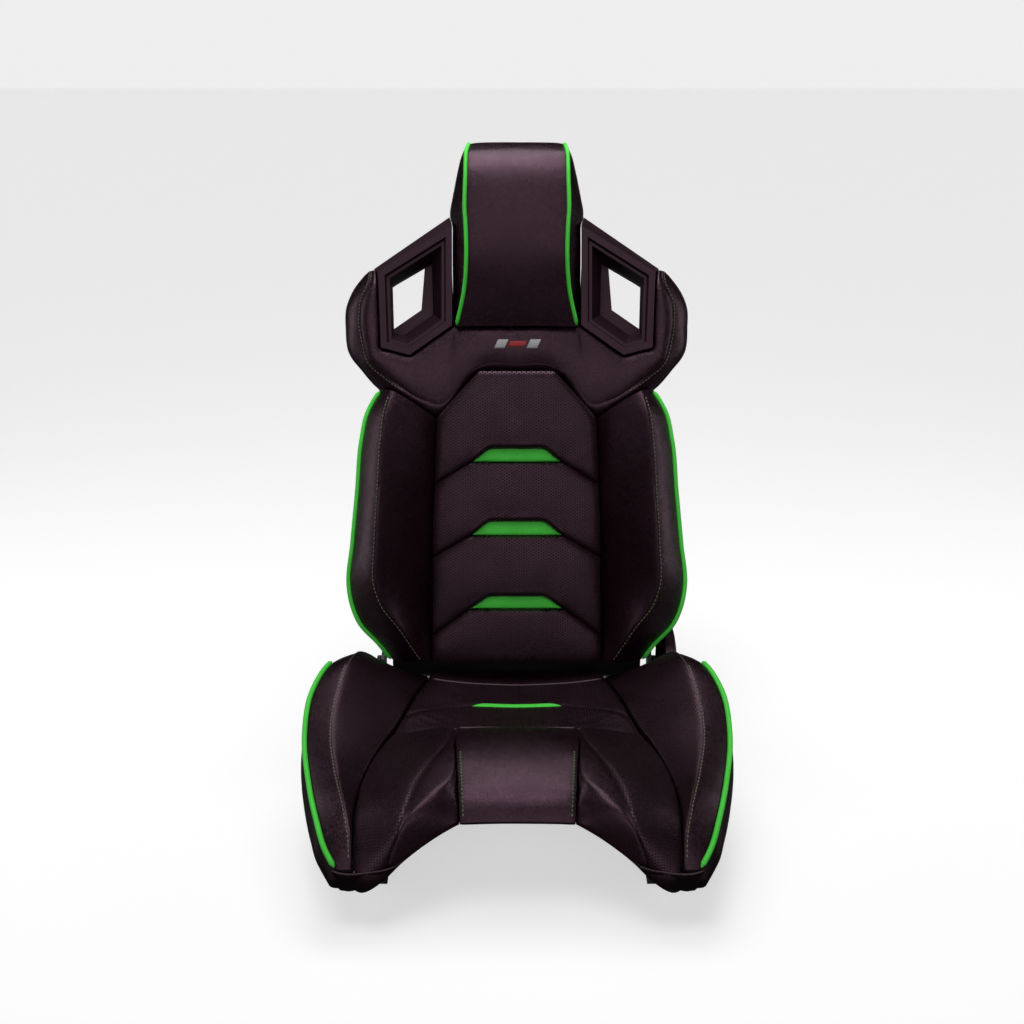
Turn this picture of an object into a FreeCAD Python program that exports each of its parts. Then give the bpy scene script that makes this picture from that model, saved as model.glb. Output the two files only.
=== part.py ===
"""Reclining bucket seat for a driving-simulator or gaming rig, on a pair of slide rails.

Frame: +Z up, the sitter faces -Y, +X is the sitter's left. The origin is the centre of the four
rail mounting holes, on the plane that the rails stand on. Millimetres.

The backrest parts are drawn upright in the backrest's own frame, whose origin is the recline hinge:
X across, -Y towards the sitter and +Z up the back. Their Placement leans them back by the recline cell.
"""

import math
import os

import FreeCAD
import Part
import Sketcher

V = FreeCAD.Vector
DOC = FreeCAD.newDocument("bucket_seat")

# ---------------------------------------------------------------- driving dimensions
SHEET = DOC.addObject("Spreadsheet::Sheet", "dims")
CELLS = {
    # slide rails
    "rail_spacing": 380, "rail_length": 380, "rail_width": 36, "rail_height": 16, "rail_gauge": 2.5,
    "rail_hole_spacing": 340, "rail_hole_dia": 8.5, "upper_width": 28, "upper_height": 25.5,
    "upper_floor": 4.5, "upper_length": 330, "latch_pitch": 12,
    # cushion structure
    "tube_dia": 25, "tube_z": 75, "side_tube_x": 195.5, "front_tube_y": -131, "rear_tube_y": 84,
    "side_tube_front": -165, "side_tube_rear": 132,
    "tab_thick": 4, "tab_front": -100, "tab_rear": 120, "tab_half": 18,
    "wire_dia": 4, "spring_pitch": 62,
    # recliner
    "hinge_y": 150, "hinge_z": 135, "recline": 18, "arm_inner": 202, "plate_thick": 5,
    "plate_gap": 1, "lug_radius": 34, "bush_radius": 12, "rod_radius": 6, "cover_radius": 84,
    "cover_inner": 222, "cover_depth": 16, "cover_wall": 2.5, "lever_length": 78,
    "sector_radius": 30, "pawl_y": -38, "pawl_z": -36,
    # backrest
    "back_tube_dia": 22, "back_tube_x": 190.5, "back_tube_d": -17, "shell_d": -44, "shell_wall": 3,
    "panel_depth": 60, "bezel_face": 58, "bezel_wall": 12, "piping_dia": 8,
}
for row, (alias, value) in enumerate(CELLS.items(), start=1):
    SHEET.set(f"A{row}", alias)
    SHEET.set(f"B{row}", str(value))
    SHEET.setAlias(f"B{row}", alias)
DOC.recompute()

NODES = {}


def dim(alias):
    """A driving dimension's value, for shapes that are built in code."""
    return float(getattr(SHEET, alias))


def bind(obj, **expressions):
    """Ties an object's properties to the sheet; __ in a name stands for a dot."""
    for prop, text in expressions.items():
        obj.setExpression(prop.replace("__", "."), text)
    return obj


def expr(text):
    """A sheet expression from plain aliases: every alias gets the sheet's name in front."""
    for alias in sorted(CELLS, key=len, reverse=True):
        text = text.replace(f"<{alias}>", f"dims.{alias}")
    return text


def place(obj, x="0", y="0", z="0"):
    return bind(obj, Placement__Base__x=expr(x), Placement__Base__y=expr(y), Placement__Base__z=expr(z))


def box(length, width, height, x, y, z):
    """A box from its low corner; every size and position is a sheet expression."""
    obj = DOC.addObject("Part::Box", "box")
    bind(obj, Length=expr(length), Width=expr(width), Height=expr(height))
    return place(obj, x, y, z)


AXIS_TURN = {
    "z": FreeCAD.Rotation(),
    "x": FreeCAD.Rotation(V(0, 1, 0), 90),
    "y": FreeCAD.Rotation(V(1, 0, 0), -90),
}


def cylinder(radius, height, axis, x, y, z):
    """A cylinder that grows along +axis from its base centre."""
    obj = DOC.addObject("Part::Cylinder", "cylinder")
    obj.Placement = FreeCAD.Placement(V(), AXIS_TURN[axis])
    bind(obj, Radius=expr(radius), Height=expr(height))
    return place(obj, x, y, z)


def prism(points, length, axis="x", start=0.0):
    """A solid prism of an outline in the plane square to axis, as a fixed feature."""
    lift = {
        "x": lambda a, b: V(start, a, b),
        "y": lambda a, b: V(a, start, b),
        "z": lambda a, b: V(a, b, start),
    }
    push = {"x": V(length, 0, 0), "y": V(0, length, 0), "z": V(0, 0, length)}
    wire = Part.makePolygon([lift[axis](*p) for p in points] + [lift[axis](*points[0])])
    return solid(Part.Face(wire).extrude(push[axis]))


def solid(shape):
    """A hidden feature that holds a shape made with Part's own functions."""
    obj = DOC.addObject("Part::Feature", "shape")
    obj.Shape = shape
    return obj


def fuse(*parts):
    obj = DOC.addObject("Part::MultiFuse", "fuse")
    obj.Shapes = list(parts)
    return obj


def cut(base, *tools):
    obj = DOC.addObject("Part::Cut", "cut")
    obj.Base = base
    obj.Tool = tools[0] if len(tools) == 1 else fuse(*tools)
    return obj


def node(name, obj, leans=False):
    """Names a sub-part; a leaning one gets the backrest's placement."""
    obj.Label = name
    if leans:
        obj.Placement = FreeCAD.Placement(V(), FreeCAD.Rotation(V(1, 0, 0), -1))
        bind(obj, Placement__Base__y="dims.hinge_y", Placement__Base__z="dims.hinge_z")
        bind(obj, Placement__Rotation__Angle="-dims.recline")
    NODES[name] = obj
    return obj


def group(name, shapes, leans=False):
    """One node that holds several separate solids."""
    return node(name, solid(Part.makeCompound(shapes)), leans)


def mirrored(shape):
    return shape.mirror(V(), V(1, 0, 0))


def loft(sections, ruled=True):
    """A closed solid through polygon sections that all have the same number of corners."""
    wires = [Part.makePolygon([V(*p) for p in points] + [V(*points[0])]) for points in sections]
    return Part.makeLoft(wires, True, ruled)


def rounded_path(points, radius):
    """Straight runs joined by tangent arcs; an arc's radius shrinks where a run is short."""
    points = [V(*p) for p in points]
    edges, at = [], points[0]
    for before, corner, after in zip(points, points[1:], points[2:]):
        a, b = (before - corner), (after - corner)
        reach_max = 0.45 * min(a.Length, b.Length)
        a.normalize()
        b.normalize()
        half = a.getAngle(b) / 2
        reach = min(radius / math.tan(half), reach_max)
        size = reach * math.tan(half)
        enter, leave = corner + a * reach, corner + b * reach
        middle = corner + (a + b).normalize() * (size / math.sin(half) - size)
        edges += [Part.LineSegment(at, enter).toShape(), Part.Arc(enter, middle, leave).toShape()]
        at = leave
    edges.append(Part.LineSegment(at, points[-1]).toShape())
    return Part.Wire(edges)


def tube(points, bend, dia):
    """A round bar along a path of straight runs and bends."""
    path = rounded_path(points, bend)
    start = V(*points[0])
    ring = Part.Wire(Part.makeCircle(dia / 2, start, V(*points[1]) - start))
    return path.makePipeShell([ring], True, False)


def hexagon(across, height, base, axis):
    """A hexagonal bolt head on a base centre."""
    side = V(*axis).normalize()
    up = V(0, 0, 1) if abs(side.z) < 0.5 else V(1, 0, 0)
    right = side.cross(up)
    radius = across / math.sqrt(3)
    ring = [math.radians(60 * k) for k in range(6)]
    corners = [V(*base) + right * (radius * math.cos(t)) + up * (radius * math.sin(t)) for t in ring]
    return Part.Face(Part.makePolygon(corners + corners[:1])).extrude(side * height)


def sketch_on(body, role, name):
    sketch = body.newObject("Sketcher::SketchObject", name)
    plane = next(o for o in body.Origin.OriginFeatures if o.Role == role)
    sketch.AttachmentSupport = [(plane, "")]
    sketch.MapMode = "FlatFace"
    return sketch


def rectangle(sketch, width, height, bottom):
    """A rectangle centred across, from a bottom height, with its sizes bound to the sheet."""
    first = sketch.GeometryCount
    corners = [V(-10, 1, 0), V(10, 1, 0), V(10, 9, 0), V(-10, 9, 0)]
    for a, b in zip(corners, corners[1:] + corners[:1]):
        sketch.addGeometry(Part.LineSegment(a, b), False)
    for k in range(4):
        sketch.addConstraint(Sketcher.Constraint("Coincident", first + k, 2, first + (k + 1) % 4, 1))
    for k, kind in enumerate(("Vertical", "Horizontal", "Vertical"), start=1):
        sketch.addConstraint(Sketcher.Constraint(kind, first + k))
    sketch.addConstraint(Sketcher.Constraint("Symmetric", first, 1, first, 2, -2))
    for kind, geometry, start, end, text in (
        ("DistanceX", first, 1, 2, width),
        ("DistanceY", first + 1, 1, 2, height),
    ):
        index = sketch.addConstraint(Sketcher.Constraint(kind, geometry, start, geometry, end, 8.0))
        sketch.setExpression(f"Constraints[{index}]", expr(text))
    index = sketch.addConstraint(Sketcher.Constraint("DistanceY", -1, 1, first, 1, 1.0))
    sketch.setExpression(f"Constraints[{index}]", expr(bottom))


def channel_body(name, outer, inner, length):
    """A PartDesign body: a rectangle padded along Y, with a second rectangle pocketed through it."""
    body = DOC.addObject("PartDesign::Body", name)
    profile = sketch_on(body, "XZ_Plane", name + "_profile")
    rectangle(profile, *outer)
    pad = body.newObject("PartDesign::Pad", name + "_pad")
    pad.Profile = profile
    pad.Midplane = True
    pad.setExpression("Length", expr(length))
    DOC.recompute()
    hollow = sketch_on(body, "XZ_Plane", name + "_hollow")
    rectangle(hollow, *inner)
    pocket = body.newObject("PartDesign::Pocket", name + "_pocket")
    pocket.Profile = hollow
    pocket.Type = 1
    pocket.Midplane = True
    DOC.recompute()
    return body


# ---------------------------------------------------------------- slide rails
def rails():
    """Two C-channel lower rails with their mounting holes, and the inverted channels that ride in them."""
    low = ("<rail_width>", "<rail_height>", "0")
    low_hollow = ("<rail_width> - 2 * <rail_gauge>", "<rail_height>", "<rail_gauge>")
    top = ("<upper_width>", "<upper_height>", "<upper_floor>")
    top_hollow = ("<upper_width> - 2 * <rail_gauge>", "<upper_height> - <rail_gauge>", "<upper_floor>")
    for side, sign in (("left", "1"), ("right", "-1")):
        lower = channel_body(f"lower_{side}", low, low_hollow, "<rail_length>")
        holes = sketch_on(lower, "XY_Plane", f"holes_{side}")
        for k, way in enumerate(("-1", "1")):
            holes.addGeometry(Part.Circle(V(0, 20 * (2 * k - 1), 0), V(0, 0, 1), 3), False)
            holes.addConstraint(Sketcher.Constraint("PointOnObject", k, 3, -2))
            spot = holes.addConstraint(Sketcher.Constraint("DistanceY", -1, 1, k, 3, 20.0 * (2 * k - 1)))
            holes.setExpression(f"Constraints[{spot}]", expr(f"{way} * <rail_hole_spacing> / 2"))
            size = holes.addConstraint(Sketcher.Constraint("Diameter", k, 6.0))
            holes.setExpression(f"Constraints[{size}]", expr("<rail_hole_dia>"))
        drill = lower.newObject("PartDesign::Pocket", f"drill_{side}")
        drill.Profile = holes
        drill.Type = 1
        drill.Midplane = True
        DOC.recompute()
        lower.Tip = drill
        place(lower, f"{sign} * <rail_spacing> / 2")
        notches = [
            box("10", "7", "10", f"{sign} * (<rail_spacing> - <rail_width>) / 2 - 5",
                f"{k} * <latch_pitch> - 3.5", "<rail_height> - 6")
            for k in range(-10, 11)
        ]
        node(f"lower_rail_{side}", cut(lower, *notches))
        upper = channel_body(f"upper_{side}", top, top_hollow, "<upper_length>")
        place(upper, f"{sign} * <rail_spacing> / 2")
        drills = [
            cylinder("4.2", "20", "z", f"{sign} * <rail_spacing> / 2", y, "<upper_height> - 8")
            for y in ("<tab_front>", "<tab_rear>")
        ]
        node(f"upper_rail_{side}", cut(upper, *drills))
    glides = [
        box("<upper_width> - 2 * <rail_gauge> - 0.6", "34", "<upper_height> - <rail_gauge> + 1.4",
            f"{sign} * <rail_spacing> / 2 - <upper_width> / 2 + <rail_gauge> + 0.3",
            f"{y} - 17", "<rail_gauge> + 0.4")
        for y in (-147, 147) for sign in ("-1", "1")
    ]
    node("rail_glides", fuse(*glides))


def rail_hardware():
    """Spacers between rails and seat frame, and the bolts through them."""
    rail_top = dim("upper_floor") + dim("upper_height")
    tab_low = dim("tube_z") - dim("tube_dia") / 2 - dim("tab_thick")
    spacers, bolts = [], []
    for sx in (-1, 1):
        for y in (dim("tab_front"), dim("tab_rear")):
            x = sx * dim("rail_spacing") / 2
            ring = Part.makeCylinder(15, tab_low - rail_top, V(x, y, rail_top))
            spacers.append(ring.cut(Part.makeCylinder(5, tab_low - rail_top, V(x, y, rail_top))))
            gauge = dim("rail_gauge")
            head = hexagon(15, 5, (x, y, rail_top - gauge - 0.2), (0, 0, -1))
            stem = Part.makeCylinder(4, tab_low - rail_top + gauge + 9, V(x, y, rail_top - gauge - 0.2))
            bolts.append(head.fuse(stem))
    group("rail_spacers", spacers)
    group("rail_bolts", bolts)


# ---------------------------------------------------------------- cushion structure
def cushion_frame():
    """Two side tubes and two cross tubes, with a flat tab over each spacer."""
    span = "<side_tube_rear> - <side_tube_front>"
    for side, sign in (("left", "1"), ("right", "-1")):
        x = f"{sign} * <side_tube_x>"
        bar = cylinder("<tube_dia> / 2", span, "y", x, "<side_tube_front>", "<tube_z>")
        hollow = cylinder("<tube_dia> / 2 - 2", span, "y", x, "<side_tube_front>", "<tube_z>")
        tabs, holes = [], []
        for y in ("<tab_front>", "<tab_rear>"):
            tabs.append(box("34", "2 * <tab_half>", "<tab_thick> + 4", f"{sign} * <rail_spacing> / 2 - 17",
                            f"{y} - <tab_half>", "<tube_z> - <tube_dia> / 2 - <tab_thick>"))
            holes.append(cylinder("4.3", "20", "z", f"{sign} * <rail_spacing> / 2", y,
                                  "<tube_z> - <tube_dia> / 2 - <tab_thick> - 5"))
        node(f"seat_side_tube_{side}", cut(fuse(bar, *tabs), hollow, *holes))
    bars = []
    for y in ("<front_tube_y>", "<rear_tube_y>"):
        reach = "<side_tube_x> - <tube_dia> / 2 - 0.2"
        bar = cylinder("<tube_dia> / 2 - 1.5", f"2 * ({reach})", "x", f"-({reach})", y, "<tube_z>")
        hollow = cylinder("<tube_dia> / 2 - 3.5", f"2 * ({reach})", "x", f"-({reach})", y, "<tube_z>")
        bars.append(cut(bar, hollow))
    node("seat_cross_tubes", fuse(*bars))


def zigzag(x0, y0, y1, z, waves, width):
    """The corner points of a flat zigzag along Y."""
    step = (y1 - y0) / (2 * waves)
    points = [(x0, y0, z)]
    for k in range(2 * waves):
        y, x = y0 + (k + 0.5) * step, x0 + (width if k % 2 else -width)
        points += [(x, y - 0.3 * step, z), (x, y + 0.3 * step, z)]
    return points + [(x0, y1, z)]


def seat_springs():
    """Zigzag wires from the front cross tube to the rear one, which carry the foam."""
    y0, y1 = dim("front_tube_y") + 2, dim("rear_tube_y") - 2
    z = dim("tube_z") + dim("tube_dia") / 2 - 1.5 + dim("wire_dia") / 2 + 0.05
    wires = [
        tube(zigzag(k * dim("spring_pitch"), y0, y1, z, 6, 14), 6, dim("wire_dia"))
        for k in (-2, -1, 0, 1, 2)
    ]
    group("seat_springs", wires)


# ---------------------------------------------------------------- recliner
ARM_BOLT_HEIGHTS = (84, 142)


def recliner():
    """Per side: the seat's bracket, a hollow pivot bush, the backrest's toothed arm, and a pawl."""
    thick = "<plate_thick>"
    outer = "(<arm_inner> + <plate_thick> + <plate_gap>)"
    t, inner, gap = dim("plate_thick"), dim("arm_inner"), dim("plate_gap")
    hy, hz, lug = dim("hinge_y"), dim("hinge_z"), dim("lug_radius")
    tube_top = dim("tube_z") + dim("tube_dia") / 2
    foot = [(hy - 75, tube_top - 20), (hy + 18, tube_top - 20), (hy + lug - 4, hz - 8), (hy - lug + 4, hz - 8)]
    sector = dim("sector_radius")
    pawl_y, pawl_z = hy + dim("pawl_y"), hz + dim("pawl_z")
    teeth = 17
    bushes, pins = [], []
    for side, s in (("left", 1), ("right", -1)):
        low = inner + t + gap
        x = low if s > 0 else -low - t
        web = prism(foot, t, "x", x)
        lug_disc = cylinder("<lug_radius>", thick, "x", str(x), "<hinge_y>", "<hinge_z>")
        bore = cylinder("<bush_radius>", f"{thick} + 2", "x", str(x - 1), "<hinge_y>", "<hinge_z>")
        pin_hole = cylinder("4", f"{thick} + 2", "x", str(x - 1),
                            "<hinge_y> + <pawl_y>", "<hinge_z> + <pawl_z>")
        node(f"recliner_bracket_{side}", cut(fuse(web, lug_disc), bore, pin_hole))

        span = f"(2 * {thick} + <plate_gap> + 8)"
        bush_x = inner - 4 if s > 0 else -(inner - 4) - (2 * t + gap + 8)
        bush = cylinder("<bush_radius>", span, "x", str(bush_x), "<hinge_y>", "<hinge_z>")
        rod_hole = cylinder("<rod_radius> + 0.06", "60", "x", str(bush_x - 20), "<hinge_y>", "<hinge_z>")
        bushes.append(cut(bush, rod_hole))

        arm_x = inner if s > 0 else -inner - t
        rim = []
        for k in range(teeth):
            middle = math.radians(200 + k * 140 / (teeth - 1))
            for r, half in ((sector, -2.6), (sector + 3.2, -1.2), (sector + 3.2, 1.2), (sector, 2.6)):
                angle = middle + math.radians(half)
                rim.append((-r * math.cos(angle), r * math.sin(angle)))
        blade = [(34, 30), (34, 150), (22, 168), (8, 168), (1, 150), (1, 36)]
        disc = cylinder("<sector_radius>", thick, "x", str(arm_x), "0", "0")
        arm = fuse(disc, prism(rim + [(0, 0)], t, "x", arm_x), prism(blade, t, "x", arm_x),
                   prism([(-24, 12), (28, 12), (34, 40), (1, 40)], t, "x", arm_x))
        arm_bore = cylinder("<bush_radius> + 0.06", f"{thick} + 2", "x", str(arm_x - 1), "0", "0")
        bolt_holes = [
            cylinder("4.2", f"{thick} + 2", "x", str(arm_x - 1), "-<back_tube_d>", str(height))
            for height in ARM_BOLT_HEIGHTS
        ]
        node(f"recliner_arm_{side}", cut(arm, arm_bore, *bolt_holes), leans=True)

        finger = [(pawl_y - 3, pawl_z + 7), (pawl_y - 3, pawl_z - 7.5), (pawl_y + 22, pawl_z - 7),
                  (hy + 4, pawl_z - 10),
                  (hy + 9, pawl_z - 4), (hy + 7, pawl_z + 6), (hy - 9, pawl_z + 6), (pawl_y + 20, pawl_z + 2)]
        boss = cylinder("8", thick, "x", str(arm_x), "<hinge_y> + <pawl_y>", "<hinge_z> + <pawl_z>")
        hole = cylinder("4.06", f"{thick} + 2", "x", str(arm_x - 1),
                        "<hinge_y> + <pawl_y>", "<hinge_z> + <pawl_z>")
        trim = cylinder("<sector_radius> + 3.7", f"{thick} + 2", "x", str(arm_x - 1), "<hinge_y>", "<hinge_z>")
        node(f"recliner_pawl_{side}", cut(fuse(prism(finger, t, "x", arm_x), boss), hole, trim))
        pin_x = inner - 1 if s > 0 else -low - t
        pins.append(cylinder("4", "2 * <plate_thick> + <plate_gap> + 1", "x", str(pin_x),
                             "<hinge_y> + <pawl_y>", "<hinge_z> + <pawl_z>"))
    node("recliner_bushes", fuse(*bushes))
    node("pawl_pins", fuse(*pins))


def clock_springs():
    """Flat spiral springs outside each bracket, which push the backrest forward."""
    for side, s in (("left", 1), ("right", -1)):
        turns, r0, r1, strip = 3.25, 13.4, 27.0, 1.4
        x0 = dim("arm_inner") + 2 * dim("plate_thick") + dim("plate_gap") + 1
        count = 52
        inner_line, outer_line = [], []
        for k in range(count + 1):
            a = 2 * math.pi * turns * k / count
            r = r0 + (r1 - r0) * k / count
            inner_line.append((r * math.cos(a), r * math.sin(a)))
            outer_line.append(((r + strip) * math.cos(a), (r + strip) * math.sin(a)))
        points = [(dim("hinge_y") + a, dim("hinge_z") + b) for a, b in inner_line + outer_line[::-1]]
        start = x0 if s > 0 else -x0 - 5
        node(f"recliner_spring_{side}", prism(points, 5, "x", start))


def lever_and_cover():
    """The lever with its cross rod through both bushes, and the shield over the left recliner."""
    x0, depth = dim("cover_inner"), dim("cover_depth")
    hy, hz, r, wall = dim("hinge_y"), dim("hinge_z"), dim("cover_radius"), dim("cover_wall")

    def shield(radius, x, length):
        disc = Part.makeCylinder(radius, length, V(x, hy, hz), V(1, 0, 0))
        skirt = Part.makeBox(length, 2 * radius - 24, 60, V(x, hy - radius + 12, hz - 62))
        return disc.fuse(skirt).removeSplitter()

    shell = shield(r, x0, depth)
    rim = [e for e in shell.Edges
           if abs(e.BoundBox.XMin - x0 - depth) < 1e-6 and abs(e.BoundBox.XMax - x0 - depth) < 1e-6]
    shell = shell.makeFillet(7, rim)
    shell = shell.cut(shield(r - wall, x0 - 1, depth - wall + 1))
    posts_x = dim("arm_inner") + 2 * dim("plate_thick") + dim("plate_gap")
    for y, z in ((hy - 44, hz - 50), (hy + 14, hz - 50)):
        shell = shell.fuse(Part.makeCylinder(5, x0 + depth - wall - posts_x + 1, V(posts_x, y, z), V(1, 0, 0)))
    shell = shell.cut(Part.makeCylinder(dim("rod_radius") + 2.5, 60, V(x0 - 10, hy, hz), V(1, 0, 0)))
    node("recliner_cover", solid(shell))

    rod_low = -(dim("arm_inner") + 2 * dim("plate_thick") + dim("plate_gap") + 10)
    rod_high = x0 + depth + 2
    rod_length = str(rod_high - rod_low)
    node("sync_rod", cylinder("<rod_radius>", rod_length, "x", str(rod_low), "<hinge_y>", "<hinge_z>"))

    reach, back = dim("lever_length"), 13
    outline = [(0, back), (-reach * 0.5, 9), (-reach, 4), (-reach - 6, -3), (-reach - 3, -11),
               (-reach * 0.5, -9), (0, -back)]
    turn = math.radians(-14)
    points = [
        (hy + a * math.cos(turn) - b * math.sin(turn), hz + a * math.sin(turn) * -1 + b * math.cos(turn))
        for a, b in outline
    ]
    grip = Part.Face(Part.makePolygon([V(rod_high, *p) for p in points + points[:1]])).extrude(V(13, 0, 0))
    hub = Part.makeCylinder(back + 3, 13, V(rod_high, hy, hz), V(1, 0, 0))
    handle = grip.fuse(hub).removeSplitter()
    caps = [e for e in handle.Edges if e.BoundBox.XMin > rod_high + 12.9]
    node("recline_lever", solid(handle.makeFillet(3, caps)))


def release_bar():
    """The slide release: a wire grip whose ends are its own pivots, with a toothed latch beside each rail."""
    z_grip, z_pivot, y_grip, y_pivot, x, reach = 54, 38, -95, 40, 150, 168
    half = [(reach, y_pivot, z_pivot), (x, y_pivot, z_pivot), (x, -45, 44), (x, y_grip, z_grip)]
    points = half + [(-px, y, z) for px, y, z in reversed(half)]
    node("slide_release_bar", solid(tube(points, 18, 9)))
    sleeve = Part.makeCylinder(9, 120, V(-60, y_grip, z_grip), V(1, 0, 0))
    node("release_bar_grip", solid(sleeve.cut(Part.makeCylinder(4.5, 120, V(-60, y_grip, z_grip), V(1, 0, 0)))))

    top = dim("upper_floor") + dim("upper_height")
    low = dim("rail_height") + 0.4
    outline = [(46, 32), (46, 44), (32, 44), (-16, low + 10), (-16, low), (16, low), (30, 31)]
    plate = Part.Face(Part.makePolygon([V(163, *p) for p in outline + outline[:1]])).extrude(V(3, 0, 0))
    plate = plate.cut(Part.makeCylinder(4.5, 20, V(155, y_pivot, z_pivot), V(1, 0, 0)))
    teeth = [Part.makeBox(9.2, 5, 6, V(166, k * dim("latch_pitch") - 2.5, low)) for k in (-1, 0, 1)]
    latch = plate.fuse(teeth).removeSplitter()
    node("slide_latch_left", solid(latch))
    node("slide_latch_right", solid(mirrored(latch)))

    ear = Part.makeBox(3, 28, 16, V(158.5, 34, top))
    foot = Part.makeBox(dim("rail_spacing") / 2 + 8 - 158.5, 14, 3, V(158.5, 48, top))
    pivot = ear.fuse(foot).removeSplitter()
    pivot = pivot.cut(Part.makeCylinder(4.55, 20, V(150, y_pivot, z_pivot), V(1, 0, 0)))
    group("latch_pivots", [pivot, mirrored(pivot)])


# ---------------------------------------------------------------- cushion upholstery
# Each station of the cushion, front to rear: Y, then (X, Z) of the valley where bolster meets thigh pad,
# the bolster's stitched ridge, its piped edge and the lower edge of its outer face, then the foam's underside.
BOLSTER_STATIONS = [
    (-290, (203.5, 88), (204.5, 91), (226, 91), (221, 65), 66),
    (-270, (204, 112), (206, 118), (241, 107), (237, 78), 79),
    (-235, (206.5, 130), (215, 144), (254, 126), (243, 76), 90),
    (-175, (201.5, 141), (232.5, 163), (271.5, 148), (258, 66), 100),
    (-105, (187, 150), (246, 185), (285.5, 174), (270, 60), 100),
    (-45, (172, 158), (243, 210), (283, 204), (270, 60), 100),
    (15, (151, 163), (232, 231), (262, 222), (258, 62), 100),
    (60, (139, 163), (219, 214), (240, 203), (240, 68), 100),
    (92, (131, 161), (186, 178), (213, 171), (222, 84), 100),
]
SEAM_GAP = 0.5
FRAME_CLEAR = 218
SPRING_TOP = 90.5
THIGH_STATIONS = [
    # Y, then (X, top Z, underside Z) at the front pad's seam, the fascia's crest, the thigh seam and the valley
    (-64, (73, 165, SPRING_TOP), (86, 166, SPRING_TOP), (98, 167, SPRING_TOP), (176.5, 156, SPRING_TOP)),
    (-165, (79, 173, 104), (92, 175, 100), (118, 167, 96), (199, 142, 94)),
    (-230, (76, 166, 130), (104, 168, 114), (142, 153, 98), (206, 131, 90)),
    (-280, (73, 150, 142), (112, 128, 115), (160, 100, 80), (203.5, 96, 66)),
]
FRONT_PAD_STATIONS = [  # Y, half-width, top Z, underside Z
    (-64, 72.5, 166, SPRING_TOP), (-120, 75.8, 171, SPRING_TOP + 1), (-165, 78.5, 177, 104),
    (-210, 76.4, 178, 122), (-248, 74.4, 172, 136), (-270, 73, 157, 146),
]
CENTRE_STATIONS = [  # Y, half-width, top Z at the edge, top Z at the middle
    (-63, 176, 156, 166), (-45, 171.5, 158, 163), (15, 150.5, 163, 156), (60, 138.5, 163, 157),
    (92, 130.5, 161, 160), (128, 125, 158, 156),
]


def bolster_section(station):
    """One closed outline across a cushion bolster."""
    y, valley, ridge, piping, skirt, under = station
    xv = valley[0] + SEAM_GAP
    foot = max(FRAME_CLEAR, xv + 2) if y > -200 else xv + 4
    low = max(under, skirt[1] + 1)
    return [(xv, y, valley[1]), (ridge[0] + SEAM_GAP, y, ridge[1]), (piping[0], y, piping[1]),
            (skirt[0], y, skirt[1]), (foot, y, skirt[1]), (foot, y, low), (xv, y, low)]


def cushion_pads():
    """The moulded foam under the cover: centre, front pad, two thigh pads and two bolsters."""
    bolster = loft([bolster_section(s) for s in BOLSTER_STATIONS])
    hinge_y, hinge_z, reach = dim("hinge_y"), dim("hinge_z"), dim("cover_radius")
    cover_room = Part.makeCylinder(reach + 4, 80, V(219, hinge_y, hinge_z), V(1, 0, 0))
    skirt_room = Part.makeBox(80, 60, 80, V(219, hinge_y - reach + 8, hinge_z - 75))
    bolster = bolster.cut(cover_room).cut(skirt_room)
    node("cushion_bolster_left", solid(bolster))
    node("cushion_bolster_right", solid(mirrored(bolster)))

    thigh = loft([
        [(x + (SEAM_GAP if k == 0 else 0), y, top) for k, (x, top, _) in enumerate(cols)]
        + [(x + (SEAM_GAP if k == 0 else 0), y, low) for k, (x, _, low) in reversed(list(enumerate(cols)))]
        for y, *cols in THIGH_STATIONS
    ])
    node("thigh_pad_left", solid(thigh))
    node("thigh_pad_right", solid(mirrored(thigh)))

    front = loft([
        [(-x, y, low), (x, y, low), (x, y, top), (0, y, top + 2), (-x, y, top)]
        for y, x, top, low in FRONT_PAD_STATIONS
    ])
    node("front_pad", solid(front))
    centre = loft([
        [(-x, y, SPRING_TOP), (x, y, SPRING_TOP), (x, y, side), (100, y, mid + 4), (0, y, mid),
         (-100, y, mid + 4), (-x, y, side)]
        for y, x, side, mid in CENTRE_STATIONS
    ])
    node("cushion_foam", solid(centre))


def piping_bead(points, bend=30.0):
    return tube(points, bend, dim("piping_dia"))


CUSHION_PIPING = [(262, 15, 222), (283, -45, 204), (287, -78, 189), (283, -125, 167), (271.5, -175, 148),
                  (254, -235, 126), (240.5, -270, 107), (227, -290, 91)]


def cushion_trim():
    """Piping along the cushion's outer edges, and the accent strip let into the seat."""
    offset = 0.5 * dim("piping_dia")
    bead = piping_bead([(x + offset, y, z + offset * 0.4) for x, y, z in CUSHION_PIPING])
    node("cushion_piping_left", solid(bead))
    node("cushion_piping_right", solid(mirrored(bead)))
    strip = [(-64, 18), (64, 18), (38, 34), (-38, 34)]
    node("seat_accent_insert", prism(strip, 3.5, "z", 160))


# ---------------------------------------------------------------- backrest
def lean(name, shape):
    return node(name, solid(shape), leans=True)


def local(x, s, d):
    """A backrest point: across, up the back from the hinge, and forward towards the sitter."""
    return (x, -d, s)


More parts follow.
